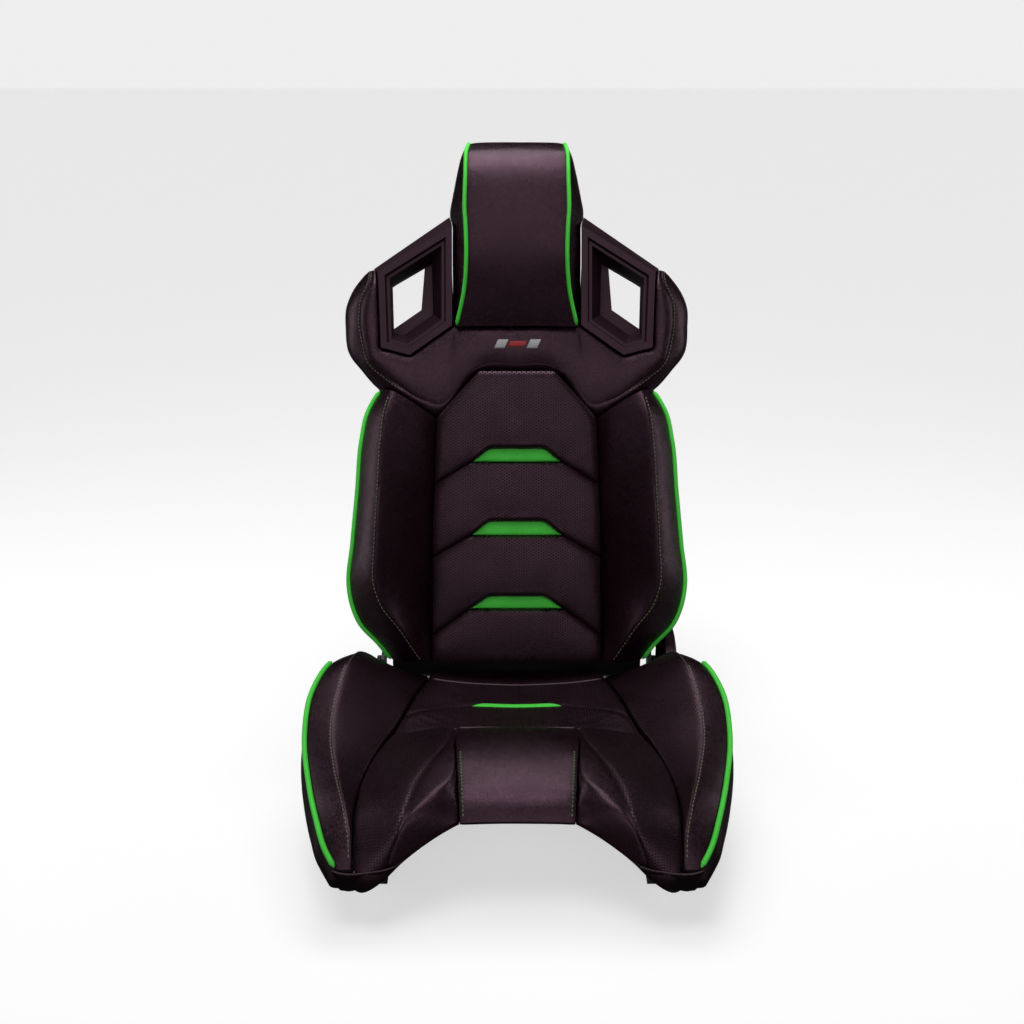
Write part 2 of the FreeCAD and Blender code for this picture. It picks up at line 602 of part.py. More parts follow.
def back_frame():
    """A bent tube hoop with two cross tubes, bolted to the recliner arms, and the wires under the foam."""
    x, d, dia = dim("back_tube_x"), dim("back_tube_d"), dim("back_tube_dia")
    half = [(x, 40), (x, 420), (78, 515), (68, 765)]
    path = [local(-px, s, d) for px, s in half] + [local(px, s, d) for px, s in reversed(half)]
    hoop = tube(path, 60, dia)
    outer = dim("arm_inner") + dim("plate_thick")
    bolts = []
    for s in (-1, 1):
        for height in ARM_BOLT_HEIGHTS:
            base = V(s * outer, -d, height)
            stem = Part.makeCylinder(4, 14, base, V(-s, 0, 0))
            hoop = hoop.cut(stem)
            bolts.append(hexagon(13, 5, base, (s, 0, 0)).fuse(stem))
    group("arm_bolts", bolts, leans=True)
    lean("backrest_frame", hoop)
    reach = x - dia / 2 - 0.1
    bars = [Part.makeCylinder(8, 2 * reach, V(-reach, -d, s), V(1, 0, 0)) for s in (96, 370)]
    group("back_cross_tubes", bars, leans=True)
    front = d + dia / 2 + dim("wire_dia") / 2 + 0.1
    wires = []
    for s in (160, 215, 270, 325):
        reach = x - 3
        step = 2 * reach / 10
        points = [local(-reach, s, front)]
        for k in range(10):
            px, ps = -reach + (k + 0.5) * step, s + (12 if k % 2 else -12)
            points += [local(px - 0.3 * step, ps, front), local(px + 0.3 * step, ps, front)]
        points.append(local(reach, s, front))
        wires.append(tube(points, 6, dim("wire_dia")))
    group("lumbar_springs", wires, leans=True)


# Backrest bolster stations: height up the back, then (X, forward) of the stitched ridge and of the piped edge.
BACK_BOLSTER = [
    (36, (134, 100), (186, 66)),
    (60, (149, 112), (203, 72)),
    (90, (168, 122), (230, 78)),
    (118, (190, 126), (242, 80)),
    (145, (201, 126), (247, 80)),
    (210, (202, 124), (241.5, 80)),
    (288, (198, 120), (234, 78)),
    (362, (194, 112), (228, 74)),
    (404, (190, 100), (219.5, 68)),
    (436, (182, 84), (202, 60)),
]
PANEL_EDGE = ((126, 36), (126, 150), (120, 300), (118, 396))
REAR_CORNER = 205


TAIL_HALF = 192


def panel_half(s):
    """Half-width of the centre panel at a height up the back."""
    for (xa, sa), (xb, sb) in zip(PANEL_EDGE, PANEL_EDGE[1:]):
        if s <= sb:
            return xa + (xb - xa) * (max(s, sa) - sa) / (sb - sa)
    return PANEL_EDGE[-1][0]


def back_pads():
    """The moulded foam of the backrest: centre panel, side bolsters, shoulder yoke and headrest."""
    depth = dim("panel_depth")
    outline = [(-124, 30), (124, 30), (126, 60), (126, 150), (120, 300), (118, 394), (56, 462), (-56, 462),
               (-118, 394), (-120, 300), (-126, 150), (-126, 60)]
    face = Part.Face(Part.makePolygon([V(x, -0.5, s) for x, s in outline + outline[:1]]))
    panel = face.extrude(V(0, 0.5 - depth, 0))
    lean("back_foam", panel)

    tail = [V(-TAIL_HALF, -d, s) for d, s in ((0.5, 30), (3.5, 30), (-8.5, 2), (-11.5, 2), (0.5, 30))]
    lean("back_tail_flap", Part.Face(Part.makePolygon(tail)).extrude(V(2 * TAIL_HALF, 0, 0)))

    sections = []
    for s, ridge, piping in BACK_BOLSTER:
        xi = panel_half(s) + SEAM_GAP
        sections.append([local(xi, s, 0.5), local(xi, s, 54), local(ridge[0], s, ridge[1]),
                         local(piping[0], s, piping[1]),
                         local(min(REAR_CORNER, piping[0] - 4), s, 0.5)])
    bolster = loft(sections)
    clear = Part.makeCylinder(dim("cover_radius") + 3, 120, V(214, 0, 0), V(1, 0, 0))
    bolster = bolster.cut(clear)
    yoke_seam = [(110, 389.8), (186, 436.4), (300, 440.5), (300, 520), (110, 520)]
    bolster = bolster.cut(pentagon_prism(yoke_seam, -10, 200))
    lean("back_bolster_left", bolster)
    lean("back_bolster_right", mirrored(bolster))


BEZEL_FRONT = [(206, 612), (96, 681), (96, 533), (159, 489), (202, 500)]
BEZEL_REAR = [(221, 631), (104, 711), (96, 533), (159, 489), (202, 500)]
BEZEL_STEP = [(190, 597), (128, 633), (126, 553), (170, 522), (188, 524)]
BEZEL_HOLE = [(192, 602), (139, 636), (145, 562), (190, 531)]
BEZEL_DEPTHS = (58, -30)


def both_sides(half):
    """A closed outline from its right half, listed upwards."""
    return half + [(-x, s) for x, s in reversed(half)]


def pentagon_prism(points, d0, d1):
    """A prism of a backrest outline, from one forward distance to another."""
    return Part.Face(Part.makePolygon([V(x, -d0, s) for x, s in points + points[:1]])).extrude(V(0, d0 - d1, 0))


def yoke_and_head():
    """The shoulder yoke, with a notch for each harness bezel, and the headrest above it."""
    half = [(56.5, 463), (119, 395.5), (186, 437), (211, 441), (225, 462), (246, 480), (257, 506), (257.5, 556),
            (246, 592), (228, 612), (218.5, 616), (203, 499.4), (159, 488), (95.5, 532.4), (95.5, 530.4)]
    lean("shoulder_yoke", pentagon_prism(both_sides(half), 0.5, 62))

    stations = [  # height, front half-width, rear half-width, forward reach
        (531, 90, 95, 64), (575, 78, 95, 78), (630, 73, 95, 92), (683, 75, 95, 96), (700, 76, 100, 96),
        (745, 75, 92, 92), (785, 74, 84, 76), (806, 71, 75, 44),
    ]
    head = loft([
        [local(-rear, s, 0.5), local(rear, s, 0.5), local(rear, s, 0.4 * reach), local(front, s, reach),
         local(-front, s, reach), local(-rear, s, 0.4 * reach)]
        for s, front, rear, reach in stations
    ])
    lean("headrest_foam", head)


def bezel_outline(depth):
    """The bezel's outline at a forward distance; it flares upwards and outwards to the rear."""
    front, rear = BEZEL_DEPTHS
    share = (front - depth) / (front - rear)
    return [(a + (c - a) * share, b + (d - b) * share) for (a, b), (c, d) in zip(BEZEL_FRONT, BEZEL_REAR)]


def tapered(points_low, depth_low, points_high, depth_high):
    """A solid between two outlines with the same number of corners."""
    low = [local(x, s, depth_low) for x, s in points_low]
    return loft([low, [local(x, s, depth_high) for x, s in points_high]])


def bezels():
    """Each harness opening's moulded bezel: a front half that steps inward, and a flat rear half."""
    face, wall = dim("bezel_face"), dim("bezel_wall")
    outer = tapered(bezel_outline(2), 2, bezel_outline(face), face)
    rim = tapered(inset(BEZEL_FRONT, wall), face - 6, inset(BEZEL_FRONT, wall - 3), face + 1)
    mouth = tapered(BEZEL_STEP, 24, inset(BEZEL_FRONT, wall + 4), face - 5.9)
    throat = pentagon_prism(BEZEL_STEP, -1, 25)
    lip = pentagon_prism(BEZEL_STEP, 2, 9)
    lip = lip.cut(pentagon_prism(BEZEL_HOLE, 0, 11))
    front = outer.cut(rim).cut(mouth).cut(throat).fuse(lip).removeSplitter()
    rear = tapered(bezel_outline(-30), -30, bezel_outline(1.5), 1.5).cut(pentagon_prism(BEZEL_HOLE, -32, 3))
    for name, shape in (("harness_bezel", front), ("bezel_back", rear)):
        lean(f"{name}_left", shape)
        lean(f"{name}_right", mirrored(shape))


def inset(points, distance):
    """A convex outline moved inward by a distance."""
    count, moved = len(points), []
    area = sum(a[0] * b[1] - b[0] * a[1] for a, b in zip(points, points[1:] + points[:1]))
    turn = 1 if area > 0 else -1
    lines = []
    for (ax, az), (bx, bz) in zip(points, points[1:] + points[:1]):
        length = math.hypot(bx - ax, bz - az)
        nx, nz = -turn * (bz - az) / length, turn * (bx - ax) / length
        lines.append((nx, nz, nx * (ax + nx * distance) + nz * (az + nz * distance)))
    for k in range(count):
        (a1, b1, c1), (a2, b2, c2) = lines[k - 1], lines[k]
        det = a1 * b2 - a2 * b1
        moved.append(((c1 * b2 - c2 * b1) / det, (a1 * c2 - a2 * c1) / det))
    return moved


def back_shell():
    """The hard rear cover, a shallow pan that closes the backrest behind its frame."""
    half = [(150, 20), (176, 34), (190, 60), (203, 110), (207, 200), (208, 300), (206, 400), (210, 440),
            (237, 478), (249, 506), (250, 556), (241, 588), (228, 606), (222.5, 606), (205.5, 497), (158, 485),
            (93, 530), (93, 690),
            (88, 760), (78, 803)]
    outline = both_sides(half)
    wall, rear = dim("shell_wall"), dim("shell_d")
    walls = pentagon_prism(outline, rear, 0).cut(pentagon_prism(inset(outline, wall), rear + wall, 1))
    arm_room = Part.makeBox(600, -rear, 190, V(-300, 0, -10))
    plate = pentagon_prism(outline, rear, rear + wall)
    lean("back_shell", walls.cut(arm_room).fuse(plate).removeSplitter())


def back_trim():
    """Piping beads of the backrest and headrest, and the three accent inserts of the centre panel."""
    off = 0.5 * dim("piping_dia")
    edge = [(191, 36, 66), (206, 58, 71), (230, 88, 78), (243, 116, 80), (248, 145, 80), (242.5, 210, 80),
            (235, 288, 78), (229, 362, 74), (220, 404, 68), (203, 434, 60)]
    bead = piping_bead([local(x + off * 0.6, s, d + off * 0.6) for x, s, d in edge])
    lean("back_piping_left", bead)
    lean("back_piping_right", mirrored(bead))
    line = [(91, 531, 64), (79, 575, 78), (73.5, 630, 92), (76, 700, 96), (75, 745, 92), (74, 785, 76),
            (71, 803, 47)]
    head = piping_bead([local(x + off, s, d + off * 0.4) for x, s, d in line])
    lean("headrest_piping_left", head)
    lean("headrest_piping_right", mirrored(head))
    wedges = []
    for low in (112, 221, 330):
        shape = [(-68, low), (68, low), (44, low + 20), (-44, low + 20)]
        wedges.append(pentagon_prism(shape, dim("panel_depth"), dim("panel_depth") + 3))
    group("back_accent_inserts", wedges, leans=True)


def build():
    rails()
    rail_hardware()
    cushion_frame()
    seat_springs()
    recliner()
    clock_springs()
    lever_and_cover()
    release_bar()
    cushion_pads()
    cushion_trim()
    back_frame()
    back_pads()
    yoke_and_head()
    bezels()
    back_shell()
    back_trim()
    DOC.recompute()


def export():
    """Checks every object, then writes one STEP file per node."""
    broken = [o.Label for o in DOC.Objects if {"Invalid", "Error"} & set(o.State)]
    if broken:
        raise RuntimeError(f"these objects failed: {broken}")
    os.makedirs("parts", exist_ok=True)
    for name in os.listdir("parts"):
        if name.endswith(".step"):
            os.remove(os.path.join("parts", name))
    for name, obj in sorted(NODES.items()):
        shape = obj.Shape
        if shape.isNull() or not shape.isValid() or shape.Volume <= 0 or not shape.Solids:
            raise RuntimeError(f"{name} is not a valid solid")
        shape.exportStep(os.path.join("parts", name + ".step"))
        print(f"{name}: {len(shape.Solids)} solid(s), {shape.Volume / 1000:.1f} cm3")
    print(len(NODES), "nodes")


build()
export()
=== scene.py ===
"""The look of a reclining bucket seat: upholstery, trim, finishes, light and camera.

Sizes below are millimetres. Backrest shapes are drawn in the backrest's own frame: x across, s up the
back from the recline hinge, and d forward towards the sitter.
"""
import math

import bmesh
import bpy
import numpy as np
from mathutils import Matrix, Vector, kdtree, noise


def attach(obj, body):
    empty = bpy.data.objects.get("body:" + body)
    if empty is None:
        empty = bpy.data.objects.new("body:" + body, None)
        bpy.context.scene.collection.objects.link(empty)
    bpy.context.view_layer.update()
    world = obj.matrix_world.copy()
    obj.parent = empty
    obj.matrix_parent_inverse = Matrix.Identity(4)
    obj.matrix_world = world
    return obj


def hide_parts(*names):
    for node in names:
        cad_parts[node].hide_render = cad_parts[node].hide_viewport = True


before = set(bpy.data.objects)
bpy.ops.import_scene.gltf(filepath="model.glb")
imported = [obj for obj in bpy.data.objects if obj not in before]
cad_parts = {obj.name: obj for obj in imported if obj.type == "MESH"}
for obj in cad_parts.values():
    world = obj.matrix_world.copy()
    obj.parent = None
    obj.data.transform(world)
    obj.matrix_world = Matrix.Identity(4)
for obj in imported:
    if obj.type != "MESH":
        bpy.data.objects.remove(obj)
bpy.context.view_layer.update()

MM = 0.001
HINGE_Y, HINGE_Z, LEAN = 150.0, 135.0, math.radians(18)
SIN, COS = math.sin(LEAN), math.cos(LEAN)


# ---------------------------------------------------------------- curves and grids
def smooth(keys, rows, at):
    """Cubic interpolation of rows of numbers, with parabolic tangents."""
    k = np.asarray(keys, float)
    v = np.asarray(rows, float).reshape(len(k), -1)
    at = np.asarray(at, float)
    if len(k) == 2:
        w = ((at - k[0]) / (k[1] - k[0]))[:, None]
        return v[0] + (v[1] - v[0]) * w
    h = np.diff(k)[:, None]
    slope = np.diff(v, axis=0) / h
    m = np.empty_like(v)
    m[1:-1] = (slope[:-1] * h[1:] + slope[1:] * h[:-1]) / (h[1:] + h[:-1])
    m[0] = 1.5 * slope[0] - 0.5 * m[1]
    m[-1] = 1.5 * slope[-1] - 0.5 * m[-2]
    i = np.clip(np.searchsorted(k, at, side="right") - 1, 0, len(k) - 2)
    hi = (k[i + 1] - k[i])[:, None]
    u = (at - k[i])[:, None] / hi
    a = 2 * u**3 - 3 * u**2 + 1
    b = u**3 - 2 * u**2 + u
    c = -2 * u**3 + 3 * u**2
    d = u**3 - u**2
    return a * v[i] + b * hi * m[i] + c * v[i + 1] + d * hi * m[i + 1]


def chord(points, power=0.75):
    """A parameter that grows with the distance between successive points."""
    steps = np.linalg.norm(np.diff(points, axis=0), axis=1) ** power
    return np.concatenate([[0], np.cumsum(np.maximum(steps, 1e-6))])


def spread(count, dense=0.65):
    """Fractions from 0 to 1, closer together at both ends."""
    t = np.linspace(0, 1, count + 1)
    return dense * (0.5 - 0.5 * np.cos(np.pi * t)) + (1 - dense) * t


def curve(points, count, dense=0.0):
    """A smooth line of count + 1 points through the given ones."""
    points = np.asarray(points, float)
    if len(points) == 2:
        return points[0] + (points[1] - points[0]) * spread(count, dense)[:, None]
    c = chord(points)
    return smooth(c, points, c[-1] * spread(count, dense))


def lengths(path):
    """The distance run along a path up to each of its points."""
    return np.concatenate([[0], np.cumsum(np.linalg.norm(np.diff(path, axis=0), axis=1))])


def at_run(distance, run, rows):
    """The place or direction at a distance along a path."""
    return np.array([np.interp(distance, run, rows[:, k]) for k in range(3)])


def even(points, step):
    """Resamples a polyline at an even spacing."""
    run = lengths(points)
    count = max(2, int(round(run[-1] / step)))
    return at_run(np.linspace(0, run[-1], count + 1), run, points).T


def normals(grid, wrap):
    """Unit normals of a grid of points; wrap closes the second direction."""
    du = np.gradient(grid, axis=0)
    if wrap:
        dv = (np.roll(grid, -1, axis=1) - np.roll(grid, 1, axis=1)) / 2
    else:
        dv = np.gradient(grid, axis=1)
    n = np.cross(du, dv)
    length = np.linalg.norm(n, axis=2, keepdims=True)
    return n / np.maximum(length, 1e-9)


def groove(distance, depth, reach):
    """How far a seam draws the cover down at a distance from it."""
    return depth * np.exp(-np.abs(distance) / reach)


def wobble(points, size, scale, seed):
    """Smooth unevenness, the same on every run."""
    flat = points.reshape(-1, 3)
    out = np.array([noise.noise(Vector(p / scale) + Vector((seed, 0, 0))) for p in flat])
    return size * out.reshape(points.shape[:-1])


# ---------------------------------------------------------------- pieces
MATERIALS = {}


def make_object(name, verts, faces, materials, slots=None, uvs=None, smooth_angle=50):
    """A mesh piece from millimetre points, with one material slot number per face."""
    mesh = bpy.data.meshes.new(name)
    mesh.from_pydata([tuple(float(c) * MM for c in v) for v in verts], [], faces)
    for m in materials:
        mesh.materials.append(MATERIALS[m])
    if slots is not None:
        mesh.polygons.foreach_set("material_index", slots)
    mesh.polygons.foreach_set("use_smooth", [True] * len(mesh.polygons))
    if uvs is not None:
        layer = mesh.uv_layers.new(name="Panel")
        corner = [uvs[f][k] for f in range(len(faces)) for k in range(len(faces[f]))]
        layer.data.foreach_set("uv", [c * MM for uv in corner for c in uv])
    obj = bpy.data.objects.new(name, mesh)
    bpy.context.scene.collection.objects.link(obj)
    bm = bmesh.new()
    bm.from_mesh(mesh)
    bmesh.ops.remove_doubles(bm, verts=bm.verts, dist=1e-6)
    bmesh.ops.dissolve_degenerate(bm, edges=bm.edges, dist=1e-6)
    bmesh.ops.recalc_face_normals(bm, faces=bm.faces)
    bm.to_mesh(mesh)
    bm.free()
    mesh.set_sharp_from_angle(angle=math.radians(smooth_angle))
    return obj


def gap_to(points, path):
    """The distance from each point to a polyline, seen from above."""
    path = np.asarray(path, float)
    flat = points[..., :2]
    best = np.full(flat.shape[:-1], 1e9)
    for a, b in zip(path, path[1:]):
        run = b - a
        t = np.clip(((flat - a) @ run) / (run @ run), 0, 1)
        best = np.minimum(best, np.linalg.norm(flat - a - t[..., None] * run, axis=-1))
    return best


def mirror_points(points):
    out = np.array(points, float)
    out[..., 0] *= -1
    return out


SIDES = (("left", np.array), ("right", mirror_points))
UNEVEN = 0.3  # height of a cover's broad unevenness
CALM = 8.0  # how far a seam keeps the cover even
CAP_RINGS = (0.94, 0.8, 0.5, 0.25)
FREE_OF_SEAM = 11.0  # the cloth is free beyond this distance from a seam


class Pad:
    """A closed, sewn form: rows of control points round a section, one section per station.

    A section is a loop of segments that meet at hard corners; the points inside a segment are smooth.
    Corners and stations may be seams, where the cover is drawn down into a groove.
    """

    def __init__(self, sections, hard, cols, rows, seed, crown=None, seams=None, row_seams=(), groove=5.0,
                 dense=0.45, fit=None, paths=()):
        self.hard, self.cols, self.groove = hard, cols, groove
        self.starts = np.concatenate([[0], np.cumsum(cols)])
        loops = np.array([self.loop(np.asarray(s, float)) for s in sections])
        self.keys = chord(loops.mean(axis=1), 1.0)
        flat = loops.reshape(len(loops), -1)
        self.at = self.keys[-1] * spread(rows, dense)
        self.base = smooth(self.keys, flat, self.at).reshape(len(self.at), -1, 3)
        n = normals(self.base, True)
        middle = self.base.mean(axis=1, keepdims=True)
        self.sign = 1 if ((self.base - middle) * n).sum() > 0 else -1
        n = n * self.sign
        offset = np.zeros(self.base.shape[:2])
        for i, size in (crown or {}).items():
            offset[:, self.starts[i]:self.starts[i + 1]] += size * self.bulge(i)
        near = np.full(self.base.shape[:2], 1e9)
        for i, (depth, segments) in (seams or {}).items():
            d = np.linalg.norm(self.base - self.base[:, self.starts[i] % self.width][:, None], axis=2)
            self.sink(offset, near, d, depth, segments)
        for station, depth, segments in row_seams:
            line = smooth(self.keys, flat, [self.keys[station]]).reshape(1, -1, 3)
            self.sink(offset, near, np.linalg.norm(self.base - line, axis=2), depth, segments)
        for path, depth, segments in paths:
            self.sink(offset, near, gap_to(self.base, path), depth, segments)
        calm = 1 - np.exp(-near / CALM)
        offset += wobble(self.base, UNEVEN, 42.0, seed) * calm
        offset += wobble(self.base, UNEVEN * 0.35, 14.0, seed + 7) * calm
        self.grid = self.base + n * offset[..., None]
        if fit:
            self.grid = fit(self.grid)
        self.normal = normals(self.grid, True) * self.sign
        self.near = near

    @property
    def width(self):
        return int(self.starts[-1])

    def loop(self, section):
        """One section's loop of points, from its control points."""
        cells, count = [], len(section)
        for i, start in enumerate(self.hard):
            stop = self.hard[(i + 1) % len(self.hard)]
            index = [k % count for k in range(start, (stop if stop > start else stop + count) + 1)]
            cells.append(curve(section[index], self.cols[i], 0.6)[:-1])
        return np.concatenate(cells)

    def bulge(self, i):
        """A crown from 0 at a segment's two corners to 1 in its middle."""
        a, b = self.starts[i], self.starts[i + 1]
        cells = np.concatenate([self.base[:, a:b], self.base[:, b % self.width][:, None]], axis=1)
        steps = np.linalg.norm(np.diff(cells, axis=1), axis=2)
        run = np.concatenate([np.zeros((len(cells), 1)), np.cumsum(steps, axis=1)], axis=1)
        t = run / np.maximum(run[:, -1:], 1e-6)
        return (1 - np.abs(2 * t - 1) ** 2.4)[:, :-1]

    def sink(self, offset, near, distance, depth, segments):
        """Draws the cover down beside a seam, on the given segments only."""
        mask = np.zeros(self.width, bool)
        for seg in segments:
            mask[np.arange(self.starts[seg], self.starts[seg + 1] + 1) % self.width] = True
        depth = np.asarray(depth, float)
        if depth.ndim:
            depth = np.interp(self.at, self.keys, depth)[:, None]
        offset -= np.where(mask, groove(distance, depth, self.groove), 0)
        near[:] = np.where(mask, np.minimum(near, distance), near)

    def rail(self, i):
        """The finished line along a hard corner, and its outward normals."""
        c = self.starts[i] % self.width
        return self.grid[:, c], self.normal[:, c]

    def along(self, segment, distance, from_end=False):
        """The line on a segment at a distance from one of its corners, with its outward normals."""
        a, b = self.starts[segment], self.starts[segment + 1]
        index = [*range(a, b), b % self.width]
        if from_end:
            index = index[::-1]
        points, outs = [], []
        for row, out in zip(self.grid[:, index], self.normal[:, index]):
            run = lengths(row)
            points.append(at_run(distance, run, row))
            outs.append(at_run(distance, run, out))
        return np.array(points), np.array(outs)

    def loose(self, segments):
        """The points of some segments that lie clear of every seam, corner and end."""
        inner = self.grid[4:-4]
        free = self.near[4:-4] > FREE_OF_SEAM
        for i in range(len(self.cols)):
            a, b = self.starts[i], self.starts[i + 1]
            if i not in segments:
                free[:, a:b] = False
                continue
            for corner in (a, b % self.width):
                away = np.linalg.norm(inner[:, a:b] - inner[:, corner][:, None], axis=2)
                free[:, a:b] &= away > FREE_OF_SEAM
        return inner[free]

    def capped(self, ends):
        """The rows of the grid with a rounded cap's rings at both ends, and the two tips."""
        rows, tips = list(self.grid), []
        for end, inner, depth in ((0, 1, ends[0]), (-1, -2, ends[1])):
            edge = self.grid[end]
            centre = edge.mean(axis=0)
            away = (edge - self.grid[inner]).mean(axis=0)
            away /= max(np.linalg.norm(away), 1e-9)
            rings = [centre + (edge - centre) * k + away * depth * (1 - k * k) ** 0.5 for k in CAP_RINGS]
            tips.append(centre + away * depth)
            rows = rings[::-1] + rows if end == 0 else rows + rings
        return np.array(rows), tips

    def piece(self, name, materials, slots=None, ends=(6.0, 6.0), place=np.array, slot_of=None, flat_uv=None,
              cap_slot=None, soft=()):
        """The closed mesh. Slots go by segment, or by station and segment; soft segments are free cloth."""
        points, tips = self.capped(ends)
        points, tips = place(points), [place(tip) for tip in tips]
        m, n = points.shape[:2]
        caps = len(CAP_RINGS)
        segment = [int(k) for k in np.searchsorted(self.starts, np.arange(n), side="right") - 1]
        between = (self.at[1:] + self.at[:-1]) / 2
        between = np.concatenate([np.zeros(caps), between, np.full(caps, self.keys[-1])])
        station = np.searchsorted(self.keys, between, side="right") - 1
        station = [int(k) for k in np.clip(station, 0, len(self.keys) - 2)]

        def slot_at(row, column):
            if cap_slot is not None and (row < caps or row > m - caps - 2):
                return cap_slot
            if slot_of:
                return slot_of(station[min(row, len(station) - 1)], segment[column])
            return (slots or {}).get(segment[column], 0)

        u = lengths(points.mean(axis=1))
        step = np.linalg.norm(np.roll(points, -1, axis=1) - points, axis=2)
        v = np.concatenate([np.zeros((m, 1)), np.cumsum(step, axis=1)], axis=1)

        def uv_at(row, column):
            if flat_uv is None:
                return (v[row][column], u[row])
            point = points[row][column % n]
            return (point[0], flat_uv(point, v[row][column]))

        faces = []
        skin(faces, 0, m, n)
        cells = [(i, j) for i in range(m - 1) for j in range(n)]
        face_slots = [slot_at(i, j) for i, j in cells]
        uvs = [(uv_at(i, j), uv_at(i, j + 1), uv_at(i + 1, j + 1), uv_at(i + 1, j)) for i, j in cells]
        for row, tip in ((0, m * n), (m - 1, m * n + 1)):
            for j in range(n):
                faces.append((row * n + j, row * n + (j + 1) % n, tip))
                face_slots.append(slot_at(row, j))
                uvs.append(((u[row], v[row][j]), (u[row], v[row][j + 1]), (u[row] + 2, v[row][j])))
        obj = make_object(name, [*points.reshape(-1, 3), *tips], faces, materials, face_slots, uvs)
        if soft:
            LOOSE.append((obj, place(self.loose(soft))))
        return obj


LOOSE = []  # covers that the cloth pass fills, each with its free points
CLOTH_FRAMES = 20
CLOTH_CAP = 2.4
PRESSURE = 4.0
SAME_PLACE = 1e-5  # metres


def add_cloth(obj, free):
    """Pins a cover everywhere but at its free points, and fills it with air."""
    tree = kdtree.KDTree(len(free))
    for i, point in enumerate(free):
        tree.insert(Vector([c * MM for c in point]), i)
    tree.balance()
    pins = [v.index for v in obj.data.vertices if tree.find(v.co)[2] > SAME_PLACE]
    obj.vertex_groups.new(name="seams").add(pins, 1.0, "REPLACE")
    cover = obj.modifiers.new("cover", "CLOTH")
    cover.settings.quality = 5
    cover.settings.mass = 0.002
    cover.settings.use_pressure = True
    cover.settings.uniform_pressure_force = PRESSURE
    cover.settings.effector_weights.gravity = 0.0
    cover.settings.vertex_group_mass = "seams"
    cover.point_cache.frame_start, cover.point_cache.frame_end = 1, CLOTH_FRAMES
    return cover


def positions(mesh):
    return np.array([v.co[:] for v in mesh.vertices])


def inflate():
    """Lets air pressure fill the sewn covers between their pinned seams, and keeps the shape it finds."""
    starts = [positions(obj.data) for obj, _ in LOOSE]
    covers = [add_cloth(obj, free) for obj, free in LOOSE]
    for number in range(1, CLOTH_FRAMES + 1):
        bpy.context.scene.frame_set(number)
    graph = bpy.context.evaluated_depsgraph_get()
    shapes = [positions(obj.evaluated_get(graph).data) for obj, _ in LOOSE]
    for (obj, _), cover, start, shape in zip(LOOSE, covers, starts, shapes):
        obj.modifiers.remove(cover)
        obj.vertex_groups.clear()
        move = shape - start
        far = np.linalg.norm(move, axis=1, keepdims=True)
        move *= np.minimum(1.0, CLOTH_CAP * MM / np.maximum(far, 1e-12))
        obj.data.vertices.foreach_set("co", (start + move).ravel())
        obj.data.update()
    bpy.context.scene.frame_set(1)


def slab(name, front, rear, material, flat):
    """A closed solid between matching grids of front and rear points, mapped by the flat grid."""
    m, n = front.shape[:2]
    size = m * n
    faces, uvs = [], []
    for i in range(m - 1):
        for j in range(n - 1):
            quad = (i * n + j, i * n + j + 1, (i + 1) * n + j + 1, (i + 1) * n + j)
            coords = tuple(tuple(flat[q // n][q % n]) for q in quad)
            faces += [quad, tuple(q + size for q in reversed(quad))]
            uvs += [coords, coords[::-1]]
    rim = [(0, j) for j in range(n)] + [(i, n - 1) for i in range(1, m)]
    rim += [(m - 1, j) for j in range(n - 2, -1, -1)] + [(i, 0) for i in range(m - 2, 0, -1)]
    for (a, b), (c, d) in zip(rim, rim[1:] + rim[:1]):
        p, q = a * n + b, c * n + d
        faces.append((p, q, q + size, p + size))
        x, y = flat[a][b], flat[c][d]
        uvs.append((tuple(x), tuple(y), (y[0], y[1] + 10), (x[0], x[1] + 10)))
    return make_object(name, [*front.reshape(-1, 3), *rear.reshape(-1, 3)], faces, [material], uvs=uvs)


def ring(centre, first, second, radius, count):
    """Points on a circle spanned by two unit vectors."""
    turns = [2 * math.pi * k / count for k in range(count)]
    return [centre + first * (radius * math.cos(a)) + second * (radius * math.sin(a)) for a in turns]


def skin(faces, base, rings, sides):
    """Quads between successive rings of points."""
    for i in range(rings - 1):
        for k in range(sides):
            a, b = base + i * sides + k, base + i * sides + (k + 1) % sides
            faces.append((a, b, b + sides, a + sides))


def close(faces, base, rings, sides):
    """A flat face on the first and the last ring."""
    last = base + (rings - 1) * sides
    faces.append(tuple(base + k for k in range(sides)))
    faces.append(tuple(last + k for k in reversed(range(sides))))


def tube(name, path, radius, material, sides, taper):
    """A round bead along a path, drawn in over the taper's length at both ends."""
    path = np.asarray(path, float)
    tangent = np.gradient(path, axis=0)
    tangent /= np.linalg.norm(tangent, axis=1, keepdims=True)
    side = np.cross(tangent[0], (0.3, 0.9, 0.2))
    side /= np.linalg.norm(side)
    verts, faces = [], []
    run = lengths(path)
    for at, p, t in zip(run, path, tangent):
        side = side - t * np.dot(side, t)
        side /= np.linalg.norm(side)
        r = radius * min(1.0, 0.35 + min(at, run[-1] - at) / taper)
        verts += ring(p, side, np.cross(t, side), r, sides)
    skin(faces, 0, len(path), sides)
    for end, step, base in ((0, -1, 0), (-1, 1, (len(path) - 1) * sides)):
        verts.append(path[end] + step * tangent[end] * radius * 0.4)
        faces += [(base + k, base + (k + 1) % sides, len(verts) - 1) for k in range(sides)]
    return make_object(name, verts, faces, [material])


STITCH = ((-0.5, 0.35), (-0.38, 0.9), (0.0, 1.0), (0.38, 0.9), (0.5, 0.35))  # place along, share of radius
STITCH_SIDES = 6


